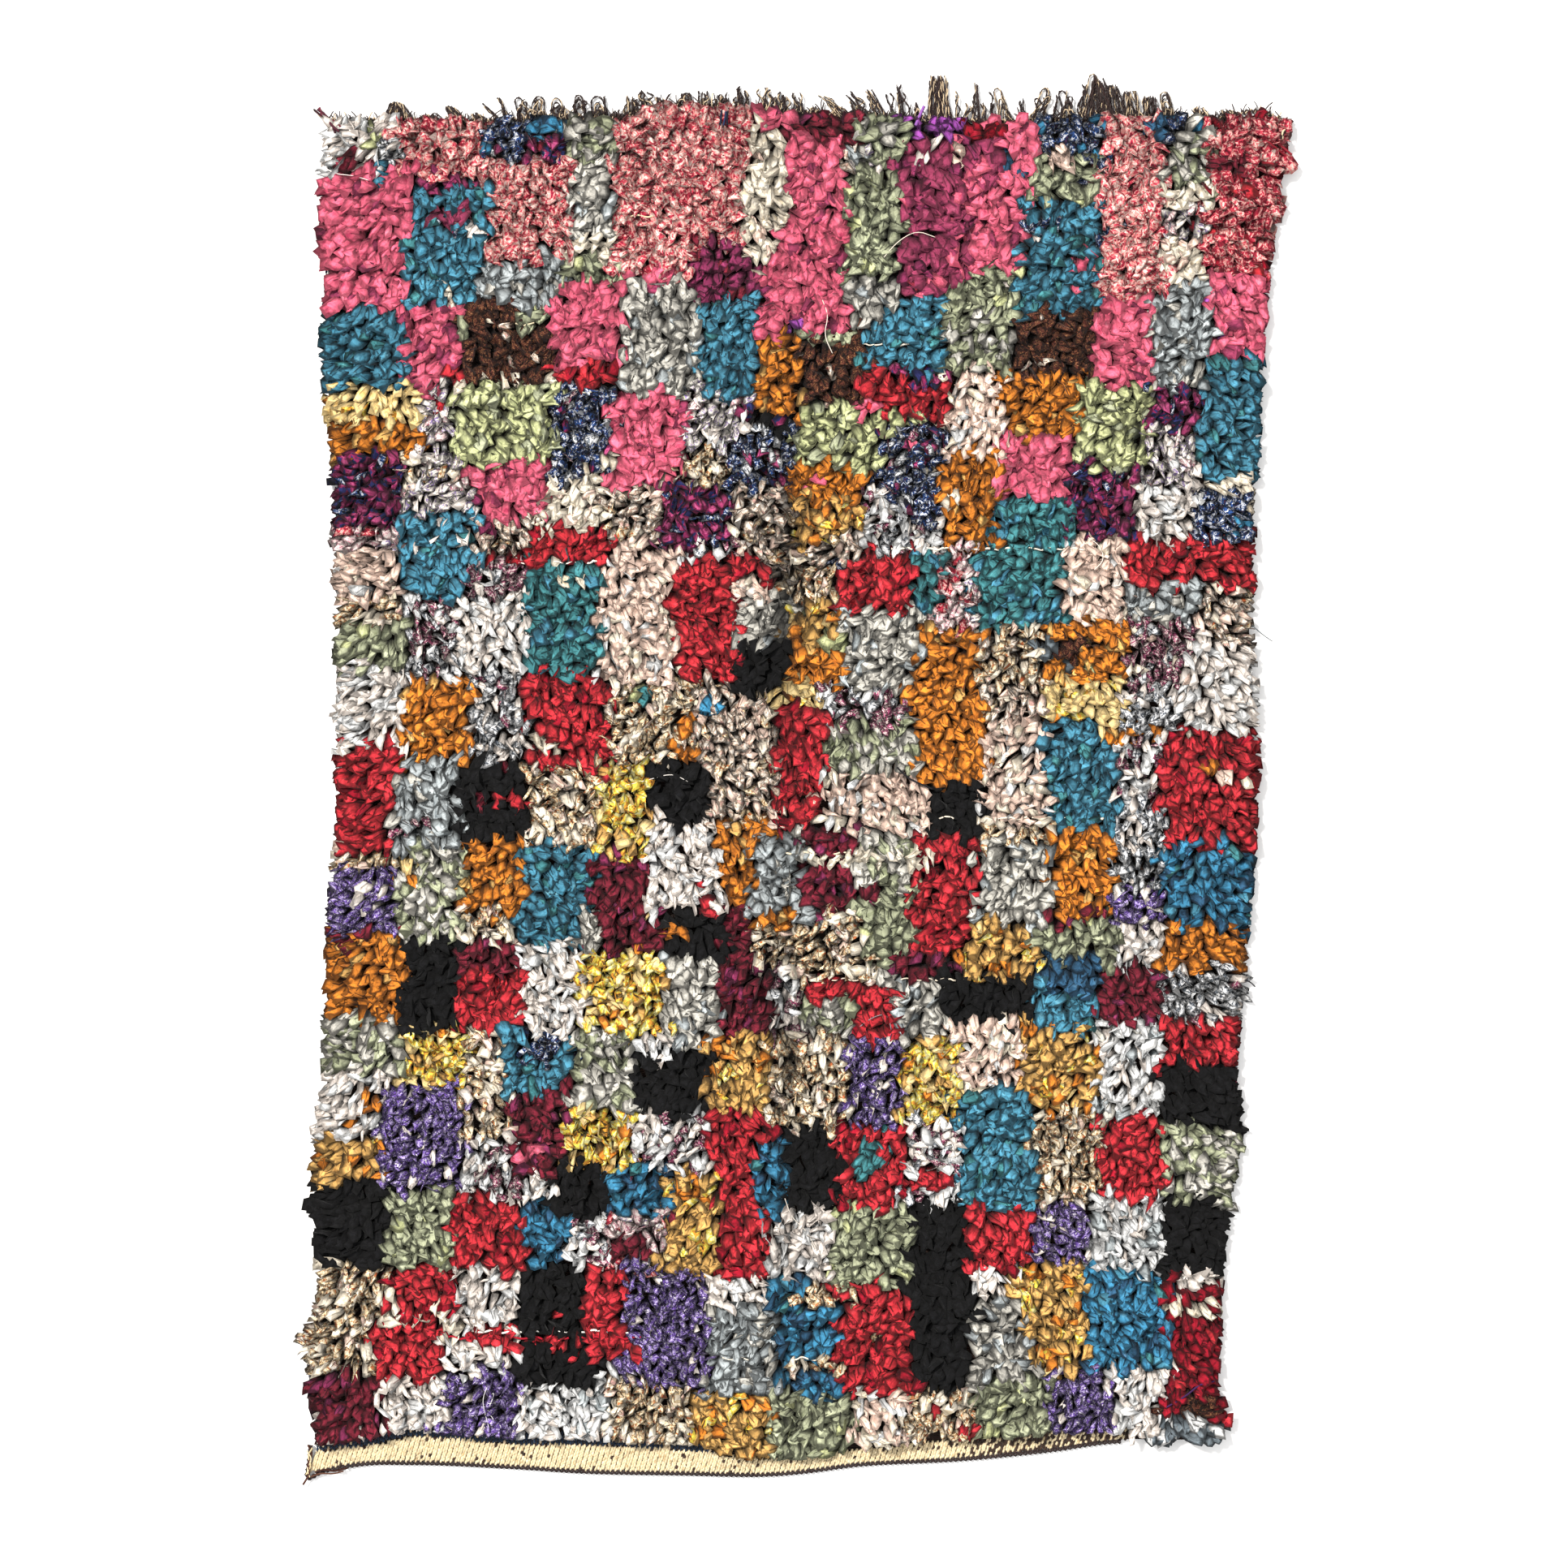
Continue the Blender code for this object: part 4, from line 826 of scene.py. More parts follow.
def ground_finish():
    """Woven ground deep in the pile: dark warps over a brown weft."""
    material, tree, shader = new_finish("ground_weave")
    where = add_node(tree, "ShaderNodeTexCoord").outputs["Object"]
    weave = add_node(tree, "ShaderNodeTexWave", {
        "Vector": where, "Scale": 95.0, "Distortion": 1.5, "Detail": 1.0}, bands_direction="Y")
    patch = add_node(tree, "ShaderNodeTexNoise", {"Vector": where, "Scale": 9.0, "Detail": 3.0})
    dark = ramp(tree, patch.outputs[0], [(0.35, linear("1c1412")), (0.6, linear("3a2a24")), (0.75, linear("57463a"))])
    threads = ramp(tree, weave.outputs[0], [(0.2, grey(0.45)), (0.7, grey(1.0))])
    colour = blend_colours(tree, 1.0, dark, threads, "MULTIPLY")
    tree.links.new(colour, shader.inputs["Base Color"])
    shader.inputs["Specular IOR Level"].default_value = 0.2
    bump = add_node(tree, "ShaderNodeBump", {"Strength": 0.8, "Distance": 0.0015, "Height": weave.outputs[0]})
    tree.links.new(bump.outputs[0], shader.inputs["Normal"])
    rough = add_node(tree, "ShaderNodeMapRange", {"Value": patch.outputs[0], "To Min": 0.8, "To Max": 0.98})
    tree.links.new(rough.outputs[0], shader.inputs["Roughness"])
    return material


# Small forms that are repeated

class Form:
    """A small form made once: its points, its faces and a flat layout of them for the bake."""

    def __init__(self, piece):
        mesh = piece.data
        self.points = np.empty(len(mesh.vertices) * 3)
        mesh.vertices.foreach_get("co", self.points)
        self.points = self.points.reshape(-1, 3)
        self.loops = np.empty(len(mesh.loops), dtype=np.int64)
        mesh.loops.foreach_get("vertex_index", self.loops)
        self.sizes = np.empty(len(mesh.polygons), dtype=np.int64)
        mesh.polygons.foreach_get("loop_total", self.sizes)
        self.layout = self.unroll()
        bpy.data.objects.remove(piece, do_unlink=True)

    def unroll(self):
        """Lay the side faces out in columns and rows, with the two ends above them."""
        points = self.points
        low, high = points[:, 2].min(), points[:, 2].max()
        angle = np.arctan2(points[:, 1], points[:, 0]) / (2 * np.pi)
        layout = np.zeros((len(self.loops), 2))
        start = 0
        for size in self.sizes:
            here = slice(start, start + size)
            start += size
            corner = points[self.loops[here]]
            if np.ptp(corner[:, 2]) < 1e-6:
                place = 0.12 if corner[0, 2] < (low + high) / 2 else 0.37
                layout[here, 0] = place + 0.09 * corner[:, 0]
                layout[here, 1] = 0.94 + 0.045 * corner[:, 1]
                continue
            middle = np.arctan2(corner[:, 1].mean(), corner[:, 0].mean()) / (2 * np.pi)
            turn = middle + (angle[self.loops[here]] - middle + 0.5) % 1.0 - 0.5
            turn = np.where(np.hypot(corner[:, 0], corner[:, 1]) < 1e-6, middle, turn)
            layout[here, 0] = np.clip(turn + 0.5, 0.0, 1.0)
            layout[here, 1] = 0.87 * (corner[:, 2] - low) / (high - low)
        return layout


def clear_selection():
    for piece in bpy.context.selected_objects:
        piece.select_set(False)


def strip_form(rings):
    """A strip of four-sided rings: one prism whose top is drawn out ring by ring."""
    clear_selection()
    bpy.ops.mesh.primitive_cylinder_add(vertices=4, radius=1.0, depth=1.0, location=(0.0, 0.0, 0.5))
    piece = bpy.context.object
    bpy.ops.object.transform_apply(location=True, rotation=False, scale=False)
    mesh = piece.data
    for part in (*mesh.vertices, *mesh.edges, *mesh.polygons):
        part.select = False
    for face in mesh.polygons:
        face.select = face.center.z > 0.9
    bpy.ops.object.mode_set(mode="EDIT")
    bpy.ops.mesh.select_mode(type="FACE")
    for _ in range(rings - 2):
        bpy.ops.mesh.extrude_region_move(TRANSFORM_OT_translate={"value": (0.0, 0.0, 1.0)})
    bpy.ops.object.mode_set(mode="OBJECT")
    return Form(piece)


def grain_form():
    """One stitch of coarse weaving, like a grain of rice."""
    clear_selection()
    bpy.ops.mesh.primitive_uv_sphere_add(segments=4, ring_count=4, radius=1.0)
    return Form(bpy.context.object)


def join_copies(name, form, points, material, attributes, strip_uv, smooth=False):
    """One mesh of many copies of a form. points is copies by form points by 3, in centimetres."""
    copies, count = points.shape[:2]
    mesh = bpy.data.meshes.new(name)
    mesh.vertices.add(copies * count)
    where = points.reshape(-1, 3) * CM
    where[:, 0] -= SHIFT[0] * CM
    where[:, 1] -= SHIFT[1] * CM
    mesh.vertices.foreach_set("co", where.ravel())
    loops = (form.loops[None, :] + np.arange(copies)[:, None] * count).ravel()
    mesh.loops.add(len(loops))
    mesh.loops.foreach_set("vertex_index", loops.astype(np.int32))
    sizes = np.tile(form.sizes, copies)
    mesh.polygons.add(len(sizes))
    mesh.polygons.foreach_set("loop_start", (np.cumsum(sizes) - sizes).astype(np.int32))
    mesh.update(calc_edges=True)
    for key, values in attributes.items():
        layer = mesh.attributes.new(key, "FLOAT", "POINT")
        spread = np.broadcast_to(np.asarray(values, dtype=float).reshape(copies, -1), (copies, count))
        layer.data.foreach_set("value", spread.ravel().astype(np.float32))
    across = int(math.ceil(math.sqrt(copies)))
    cell = np.arange(copies)
    corner = np.stack([cell % across, cell // across], axis=1)[:, None, :]
    tiles = (corner + 0.08 + 0.84 * form.layout[None, :, :]) / across
    sheet = mesh.uv_layers.new(name="OFBake")
    sheet.data.foreach_set("uv", tiles.reshape(-1).astype(np.float32))
    strip = mesh.uv_layers.new(name="Strip")
    strip.data.foreach_set("uv", (strip_uv.reshape(-1, 2)[loops] * CM).ravel().astype(np.float32))
    if smooth:
        mesh.shade_smooth()
    else:
        mesh.shade_flat()
    mesh.materials.append(material)
    piece = bpy.data.objects.new(name, mesh)
    bpy.context.collection.objects.link(piece)
    mesh.validate()
    return piece


# Pile

def rim_reach(side, y):
    """How far the edge tufts stand out at a point of the side, in the rhythm of the rows."""
    x = side_x(side, y)
    low = hem_line(x) + HEM_STEP
    row = (y - low) / (curve(TOP, 1, x) - low) * SIDE_ROWS
    j = np.floor(row)
    number = 37.0 + j if side > 0 else 206.0 - j
    reach = mix(LOCK_REACH[0], LOCK_REACH[1], chance(number, side * 3.7))
    pitch = (curve(TOP, 1, x) - low) / SIDE_ROWS
    for row_side, row_y, row_reach in LONG_TUFTS:
        if row_side == side:
            reach = np.where(np.abs(y - row_y) < pitch * 0.6, row_reach, reach)
    for row_side, bottom, top in BARE_STRETCHES:
        if row_side == side:
            reach = np.where((y > bottom) & (y < top), 0.05, reach)
    share = np.abs((row - j) - 0.5) * 2.0
    return reach * (1.0 - 0.55 * share)


def plan_place(x, y):
    """Where a point of the rug lies in the weaver's plan."""
    return x / PIXEL + PLAN_MIDDLE[0], PLAN_MIDDLE[1] - y / PIXEL


def beyond_field(across, down, left, right, top, bottom):
    """How far outside a field each point lies. Below 0 is how far inside it."""
    return np.maximum(np.abs(across - (left + right) / 2) - (right - left) / 2,
                      np.abs(down - (bottom + top) / 2) - (bottom - top) / 2)


def field_of(x, y):
    """Which field of the plan a point lies in: the one whose edges it is furthest inside of."""
    across, down = plan_place(x + FIELD_STRAY * lumps(x * 1.7 + 50.0, y * 2.3),
                              y + FIELD_STRAY * lumps(x * 2.1 - 90.0, y * 1.9 + 30.0))
    best = np.full(len(x), 1e9)
    chosen = np.zeros(len(x), dtype=int)
    for k, (_, *edges) in enumerate(PLAN):
        out = beyond_field(across, down, *edges)
        nearer = out < best
        best[nearer] = out[nearer]
        chosen[nearer] = k
    return chosen


def plant_rags():
    """Roots of the rags in staggered rows, with the way each one leans."""
    rows = np.arange(-113.0, 109.0, PITCH * 0.96)
    columns = np.arange(-81.0, 81.0, PITCH)
    x, y = np.meshgrid(columns, rows)
    x = x + (np.arange(len(rows)) % 2)[:, None] * PITCH / 2
    x = (x + rng.uniform(-0.38, 0.38, x.shape) * PITCH).ravel()
    y = (y + rng.uniform(-0.36, 0.36, y.shape) * PITCH).ravel()
    low = hem_line(x) + np.where(x > HEM_BARE_TO, 0.0, 0.9)
    keep = (x > side_x(-1, y) + 0.2) & (x < side_x(1, y) - 0.2)
    keep &= (y > low) & (y < curve(TOP, 1, x) - 0.5)
    x, y = x[keep], y[keep]
    field = field_of(x, y)
    lean = -90.0 + FIELD_LEAN * (2 * chance(field, 5.5) - 1)
    from_left = np.clip((x - side_x(-1, y)) / EDGE_FIELD, 0.0, 1.0)
    from_right = np.clip((side_x(1, y) - x) / EDGE_FIELD, 0.0, 1.0)
    lean = mix(-176.0, lean, from_left ** 1.5)
    lean = mix(-16.0, lean, from_right ** 1.5)
    spread = LEAN_SPREAD * mix(0.42, 1.0, np.minimum(from_left, from_right))
    near_top = curve(TOP, 1, x) - y < 2.2
    lean = np.where(near_top, 80.0, lean)
    spread = np.where(near_top, 50.0, spread)
    lean = np.radians(lean + rng.normal(0.0, 1.0, len(x)) * spread)
    return x, y, lean


def pose_rags(form, x, y, lean, width, length, crumple, height):
    """Bend one strip for each root: up out of the ground, over, and down among its neighbours."""
    copies = len(x)
    rings = RAG_RINGS
    share = np.linspace(0.0, 1.0, rings)
    rise = np.radians(rng.uniform(60.0, 92.0, (copies, 1)))
    droop = np.radians(rng.uniform(-8.0, 18.0, (copies, 1)))
    angle = rise * (1.0 - share[None, :-1]) ** 2.2 - droop * share[None, :-1]
    step = (length / (rings - 1))[:, None]
    out = np.concatenate([np.zeros((copies, 1)), np.cumsum(np.cos(angle) * step, axis=1)], axis=1)
    up = np.concatenate([np.zeros((copies, 1)), np.cumsum(np.sin(angle) * step, axis=1)], axis=1)
    ahead = np.stack([np.cos(lean), np.sin(lean)], axis=1)
    aside = np.stack([-ahead[:, 1], ahead[:, 0]], axis=1)
    reach = out.max(axis=1)
    middle_x = x + ahead[:, 0] * reach * 0.6
    middle_y = y + ahead[:, 1] * reach * 0.6
    target = pile_top(middle_x, middle_y) * rng.uniform(0.78, 1.03, copies) * height
    up *= ((target - 0.25) / up.max(axis=1))[:, None]
    wobble = rng.normal(0.0, 1.0, (copies, rings)) * share[None, :] ** 0.7
    up = np.maximum(up + 0.16 * crumple[:, None] * wobble, 0.0)
    stray = np.cumsum(rng.normal(0.0, 0.13, (copies, rings)), axis=1) * crumple[:, None] * share[None, :]

    run_out = np.gradient(out, axis=1)
    run_up = np.gradient(up, axis=1)
    size = np.hypot(run_out, run_up) + 1e-6
    cos_run, sin_run = run_out / size, run_up / size
    roll = rng.normal(0.0, 0.25, (copies, 1)) + np.cumsum(rng.normal(0.0, 0.22, (copies, rings)), axis=1)
    roll *= crumple[:, None]
    fold = rng.normal(0.0, 0.17, (copies, 1)) + rng.normal(0.0, 0.16, (copies, rings))
    fold *= crumple[:, None]
    profile = np.array(RAG_PROFILE)[None, :] * rng.uniform(0.8, 1.18, (copies, rings))
    profile[:, -1] *= rng.choice([1.0, 0.7, 0.35], copies, p=[0.65, 0.25, 0.1])
    crease = rng.uniform(-0.6, 0.6, (copies, rings))
    skew = rng.normal(0.0, 0.12, (copies, rings))
    skew[:, -1] += rng.normal(0.0, 0.3, copies)

    ring = np.rint(form.points[:, 2]).astype(int)
    across = form.points[:, 0]
    over = form.points[:, 1]
    r_out, r_up, r_side = out[:, ring], up[:, ring] + 0.25, stray[:, ring]
    c_roll, s_roll = np.cos(roll)[:, ring], np.sin(roll)[:, ring]
    half = (width / 2.0)[:, None] * profile[:, ring]
    bulge = fold[:, ring] * (np.abs(over) > 0.5) + over * 0.09
    place = across + crease[:, ring] * (np.abs(over) > 0.5)
    side_part = place * half * c_roll - bulge * s_roll
    lift_part = place * half * s_roll + bulge * c_roll
    slip = skew[:, ring] * place
    z = r_up + lift_part * cos_run[:, ring] + slip * sin_run[:, ring]
    flat_out = r_out - lift_part * sin_run[:, ring] + slip * cos_run[:, ring]
    flat_side = r_side + side_part
    px = x[:, None] + ahead[:, :1] * flat_out + aside[:, :1] * flat_side
    py = y[:, None] + ahead[:, 1:] * flat_out + aside[:, 1:] * flat_side
    points = np.stack([px, py, np.clip(z, RAG_LOWEST, RAG_HIGHEST)], axis=2)
    points = hold_inside(points)
    level = pile_top(points[:, :, 0].mean(axis=1), points[:, :, 1].mean(axis=1))
    # How far up the rag and out of the pile each point lies: it sets the painted shade at the roots.
    depth = np.minimum(share[ring][None, :] + ROOT_SHADE, points[:, :, 2] / level[:, None])
    cloth_v = share[ring][None, :] * length[:, None]
    cloth_u = across[None, :] * half + 0.4 * over[None, :]
    strip_uv = np.stack([cloth_u, cloth_v], axis=2) + rng.uniform(-300.0, 300.0, (copies, 1, 2))
    return points, depth, strip_uv


def hold_inside(points):
    """Move rags that reach too far over the rim, the hem or the heading back in."""
    for side in (-1, 1):
        tip = points[:, :, 0].min(axis=1) if side < 0 else points[:, :, 0].max(axis=1)
        level = points[:, :, 1].mean(axis=1)
        limit = side_x(side, level) + side * rim_reach(side, level)
        over = np.maximum((tip - limit) * side, 0.0)
        points[:, :, 0] -= (side * over)[:, None]
    middle = points[:, :, 0].mean(axis=1)
    ragged = 0.75 + 0.75 * lumps(middle * 2.3, middle * 0.0) + rng.uniform(-0.3, 0.5, len(points))
    over = np.maximum(points[:, :, 1].max(axis=1) - curve(TOP, 1, middle) - ragged, 0.0)
    points[:, :, 1] -= over[:, None]
    lowest = hem_line(middle) + np.where(middle < -13.0, 1.3, 0.0)
    lowest = np.where(middle > HEM_BARE_TO, curve(HEM, 1, middle) - 0.6, lowest)
    under = np.maximum(lowest - rng.uniform(0.0, 0.5, len(points)) - points[:, :, 1].min(axis=1), 0.0)
    points[:, :, 1] += under[:, None]
    return points


def sort_cloths(x, y, lean):
    """Bundle, cloth and field of each rag, by where its tip shows."""
    shown_x = x + np.cos(lean) * 2.0 + rng.normal(0.0, 0.45, len(x))
    shown_y = y + np.sin(lean) * 2.0 + rng.normal(0.0, 0.45, len(x))
    field = field_of(shown_x, shown_y)
    names = list(BUNDLES)
    bundle = np.zeros(len(x), dtype=int)
    variant = np.zeros(len(x))
    dice, dice_two = rng.uniform(0, 1, (2, len(x)))
    for k, (cloth, *_) in enumerate(PLAN):
        here = field == k
        name, second, stray, other = PLAN_CLOTHS[cloth]
        bundle[here] = np.where(dice[here] < stray, names.index(other), names.index(name))
        variant[here] = dice_two[here] < second
    across, down = plan_place(shown_x, shown_y)
    for cloth, left, right, top, bottom in SPOTS:
        out = beyond_field(across, down, left, right, top, bottom)
        here = out <= max(out.min(), 0.0)
        bundle[here] = names.index(PLAN_CLOTHS[cloth][0])
        variant[here] = PLAN_CLOTHS[cloth][1] > 0.5
    return bundle, variant, field


def dress_rags(form, x, y, lean, height):
    """Posed rags for each bundle, with what their finish needs to know."""
    bundle, variant, field = sort_cloths(x, y, lean)
    field_tone = 0.5 * (2 * chance(field, 9.1) - 1)
    rags = []
    for k, (_, _, width, length, crumpled) in enumerate(BUNDLES.values()):
        here = np.flatnonzero(bundle == k)
        copies = len(here)
        widths = width * rng.uniform(0.7, 1.25, copies)
        near_left = 1.0 - np.clip((x[here] - side_x(-1, y[here])) / EDGE_FIELD, 0.0, 1.0)
        lengths = length * rng.uniform(0.8, 1.15, copies) * (1.0 + EDGE_LONGER * near_left)
        crumples = crumpled * rng.uniform(0.7, 1.2, copies)
        points, depth, strip_uv = pose_rags(form, x[here], y[here], lean[here], widths, lengths, crumples, height)
        tone = np.clip(field_tone[here] + rng.normal(0.0, 0.55, copies), -1.2, 1.1)
        # Painted shade, deeper along the furrow down the middle of the rug.
        furrow_shade = 1.0 - 0.55 * furrow(x[here], y[here]) / FOLD_DEPTH
        rags.append((points, depth * furrow_shade[:, None], strip_uv, tone, variant[here]))
    return rags


def open_spots(rags):
    """Spots where nothing but roots and ground would show, with a lean for a rag over each."""
    low_x, low_y = -82.0, -114.0
    shape = (int(164.0 / GRID), int(224.0 / GRID))
    covered = np.zeros(shape, dtype=bool)
    for points, *_ in rags:
        for share in (0.0, 0.34, 0.67):
            between = mix(points, np.roll(points, -4, axis=1), share)
            for other in (0, 1, 2):
                spot = mix(between, np.roll(between, -other, axis=1), 0.5)
                spot = spot[(spot[:, :, 2] > OPEN_HEIGHT)]
                i = ((spot[:, 0] - low_x) / GRID).astype(int)
                j = ((spot[:, 1] - low_y) / GRID).astype(int)
                covered[np.clip(i, 0, shape[0] - 1), np.clip(j, 0, shape[1] - 1)] = True
    i, j = np.nonzero(~covered)
    order = rng.permutation(len(i))
    x, y = low_x + (i[order] + 0.5) * GRID, low_y + (j[order] + 0.5) * GRID
    keep = (x > side_x(-1, y) + 0.3) & (x < side_x(1, y) - 0.3) & (y < curve(TOP, 1, x) - 0.3)
    keep &= y > hem_line(x) + np.where(x > HEM_BARE_TO, -0.5, 2.2)
    x, y = x[keep], y[keep]
    cell = np.floor(x / OPEN_STEP) * 1000 + np.floor(y / OPEN_STEP)
    _, first = np.unique(cell, return_index=True)
    x, y = x[first], y[first]
    lean = rng.uniform(-math.pi, math.pi, len(x))
    lean = np.where(x - side_x(-1, y) < 3.0, math.pi + rng.normal(0.0, 0.5, len(x)), lean)
    lean = np.where(side_x(1, y) - x < 3.0, rng.normal(0.0, 0.5, len(x)), lean)
    return x - np.cos(lean) * 1.9, y - np.sin(lean) * 1.9, lean


def weave_pile(form):
    """Sort the rags into their cloths and join each bundle into one mesh."""
    rags = dress_rags(form, *plant_rags(), 1.0)
    spots = open_spots(rags)
    fillers = dress_rags(form, *spots, 0.86)
    rim = np.maximum(np.abs(form.points[:, 0]), form.points[:, 2] > RAG_RINGS - 1.5)
    pieces = []
    for name, upper, lower in zip(BUNDLES, rags, fillers):
        points, depth, strip_uv, tone, variant = (np.concatenate(pair) for pair in zip(upper, lower))
        # Where the painted shade lines fall: 1 at each rag's edges and tip, 0 down the middle of some rags, 0.5
        # elsewhere.
        middle = np.where(rng.uniform(0, 1, (len(points), 1)) < FOLD_SHADE_SHARE, 0.0, 0.5)
        looks = {"tone": tone, "variant": variant, "depth": depth, "shadow_line_place": mix(middle, 1.0, rim[None, :])}
        pale = name in PALE_BUNDLES
        finish = rag_finish("rag_" + name, *BUNDLES[name][:2], CRUMPLE_SHADE[pale], EDGE_SHADE[pale], ROOT_PAINTED_SHADE[pale])
        pieces.append(join_copies("rags_" + name, form, points, finish, looks, strip_uv))
    return pieces


# Ground, hem, cord and warp ends

def weave_ground():
    """The woven ground as one thin sheet that follows the rug's outline."""
    clear_selection()
    across, up = 36, 54
    bpy.ops.mesh.primitive_grid_add(x_subdivisions=across, y_subdivisions=up, size=2.0)
    piece = bpy.context.object
    piece.name = piece.data.name = "ground_cloth"
    where = np.empty(len(piece.data.vertices) * 3)
    piece.data.vertices.foreach_get("co", where)
    where = where.reshape(-1, 3)
    s, t = (where[:, 0] + 1) / 2, (where[:, 1] + 1) / 2
    level = mix(-110.0, 105.0, t)
    x = mix(side_x(-1, level) + 0.6, side_x(1, level) - 0.6, s)
    y = mix(curve(HEM, 1, x) + 0.1, curve(TOP, 1, x) - 0.1, t)
    where[:, 0], where[:, 1], where[:, 2] = (x - SHIFT[0]) * CM, (y - SHIFT[1]) * CM, 0.0035
    piece.data.vertices.foreach_set("co", where.ravel())
    area = sum(face.area for face in piece.data.polygons)
    shell = piece.modifiers.new("thickness", "SOLIDIFY")
    shell.thickness = 0.003
    shell.offset = -1.0
    bpy.ops.object.modifier_apply(modifier=shell.name)
    piece.data.materials.append(ground_finish())
    return piece, area


def lay_grains(form, x, y, z, turn, length, width, height):
    """Grains of weaving at given places, turned in plan."""
    local = form.points[None, :, :] * np.stack([width, height, length], axis=1)[:, None, :] / 2
    cos_t, sin_t = np.cos(turn)[:, None], np.sin(turn)[:, None]
    px = x[:, None] + local[:, :, 2] * cos_t - local[:, :, 0] * sin_t
    py = y[:, None] + local[:, :, 2] * sin_t + local[:, :, 0] * cos_t
    pz = np.maximum(z[:, None] + local[:, :, 1], 0.02)
    strip_uv = np.stack([local[:, :, 0], local[:, :, 2]], axis=2) + rng.uniform(-300.0, 300.0, (len(x), 1, 2))
    return np.stack([px, py, pz], axis=2), strip_uv


def grain_field(x_from, x_to, low, high, pitch, row_pitch, slant):
    """Rows of stitches between two curves, with every other row half a step on."""
    columns = np.arange(x_from, x_to, pitch)
    spots = []
    for k, x in enumerate(columns):
        rows = np.arange(low(x) + row_pitch / 2, high(x), row_pitch)
        for row in rows:
            spots.append((x + (row - low(x)) * slant, row + (k % 2) * row_pitch / 2, k, len(rows)))
    spots = np.array(spots)
    spots[:, :2] += rng.normal(0.0, 0.03, (len(spots), 2))
    return spots


def weave_hem(form, yarn):
    """Coarse flatwoven hem: beige stitches, then dark and cream ones, and a navy stripe above it."""
    edge = lambda x: float(curve(HEM, 1, x)) - 0.1
    line = lambda x: float(hem_line(x))
    hem = grain_field(-77.9, HEM_BARE_TO, edge, line, 0.4, 0.55, 0.3)
    speckled = hem[:, 0] + rng.normal(0.0, 1.5, len(hem)) > 26.5
    variant = np.where(rng.uniform(0, 1, len(hem)) < np.where(speckled, 0.5, 0.02), 0.0, 1.0)
    turn = np.radians(90.0 - 20.0 + rng.normal(0.0, 7.0, len(hem)))
    size = np.ones(len(hem))
    points, uv = lay_grains(form, hem[:, 0], hem[:, 1], 0.42 * size, turn, 0.84 * size, 0.5 * size, 0.4 * size)
    looks = {"tone": rng.normal(0.0, 0.35, len(hem)), "variant": variant}
    beige = join_copies("hem_weave", form, points, yarn, looks, uv, smooth=True)

    stripe_top = lambda x: line(x) + 2.1
    navy = grain_field(-76.8, -12.5, line, stripe_top, 0.44, 0.7, 0.0)
    size = np.ones(len(navy))
    turn = np.radians(90.0 + rng.normal(0.0, 5.0, len(navy)))
    points, uv = lay_grains(form, navy[:, 0], navy[:, 1], 0.45 * size, turn, 0.85 * size, 0.44 * size, 0.4 * size)
    looks = {"tone": rng.normal(0.0, 0.3, len(navy)), "variant": (rng.uniform(0, 1, len(navy)) < 0.1) * 1.0}
    stripe = join_copies("navy_stripe", form, points, yarn_finish("navy_wool", NAVY_COLOURS, YARN_LIGHT),
                         looks, uv, smooth=True)
    return beige, stripe


def weave_heading(form, yarn):
    """Twined heading along the top edge, in dark and cream yarn."""
    low = lambda x: float(curve(TOP, 1, x)) - 0.1
    high = lambda x: float(curve(TOP, 1, x)) + 0.62
    spots = grain_field(-75.4, 78.8, low, high, 0.36, 0.34, 0.0)
    turn = np.radians(90.0 + np.where(spots[:, 2] % 2 < 1, 38.0, -38.0) + rng.normal(0.0, 8.0, len(spots)))
    size = np.ones(len(spots))
    points, uv = lay_grains(form, spots[:, 0], spots[:, 1], 0.35 * size, turn, 0.6 * size, 0.3 * size, 0.34 * size)
    looks = {"tone": rng.normal(0.0, 0.4, len(spots)), "variant": (rng.uniform(0, 1, len(spots)) < 0.3) * 1.0}
    return join_copies("twined_heading", form, points, yarn, looks, uv, smooth=True)


def weave_selvedge(form):
    """Wrapped selvedge where the edge tufts leave it bare."""
    spots, tints = [], []
    for side, bottom, top, wrap, warp in SELVEDGE:
        for level in np.arange(bottom, top, 0.42):
            for k in range(4):
                inward = 0.35 + 0.42 * k
                spots.append((side_x(side, level) - side * inward, level + (k % 2) * 0.2))
                tints.append(wrap if rng.uniform() < 0.72 else warp)
    spots = np.array(spots)
    size = np.ones(len(spots))
    turn = np.radians(90.0 + rng.normal(0.0, 8.0, len(spots)))
    points, uv = lay_grains(form, spots[:, 0], spots[:, 1], 0.62 * size, turn, 0.55 * size, 0.4 * size, 0.5 * size)
    return dyed_copies("selvedge", form, points, uv, tints, True)


def dyed_copies(name, form, points, uv, tints, smooth):
    """Copies whose colour is an attribute of their own."""
    material, tree, shader = new_finish(name + "_yarn")
    colour = add_node(tree, "ShaderNodeAttribute", attribute_name="dye").outputs["Color"]
    where = add_node(tree, "ShaderNodeUVMap", uv_map="Strip").outputs[0]
    fibre = add_node(tree, "ShaderNodeTexNoise", {"Vector": where, "Scale": 700.0, "Detail": 2.0})
    shade = ramp(tree, fibre.outputs[0], [(0.3, grey(0.6)), (0.65, grey(1.05))])
    colour = blend_colours(tree, 0.7, colour, shade, "MULTIPLY")
    tree.links.new(colour, shader.inputs["Base Color"])
    shader.inputs["Specular IOR Level"].default_value = 0.2
    cloth_bump(tree, where, shader, crease=0.0005, thread=1700.0)
    piece = join_copies(name, form, points, material, {"tone": np.zeros(len(points))}, uv, smooth)
    layer = piece.data.attributes.new("dye", "FLOAT_COLOR", "POINT")
    dye = np.array([linear(code) for code in tints])
    layer.data.foreach_set("color", np.repeat(dye, points.shape[1], axis=0).ravel().astype(np.float32))
    return piece


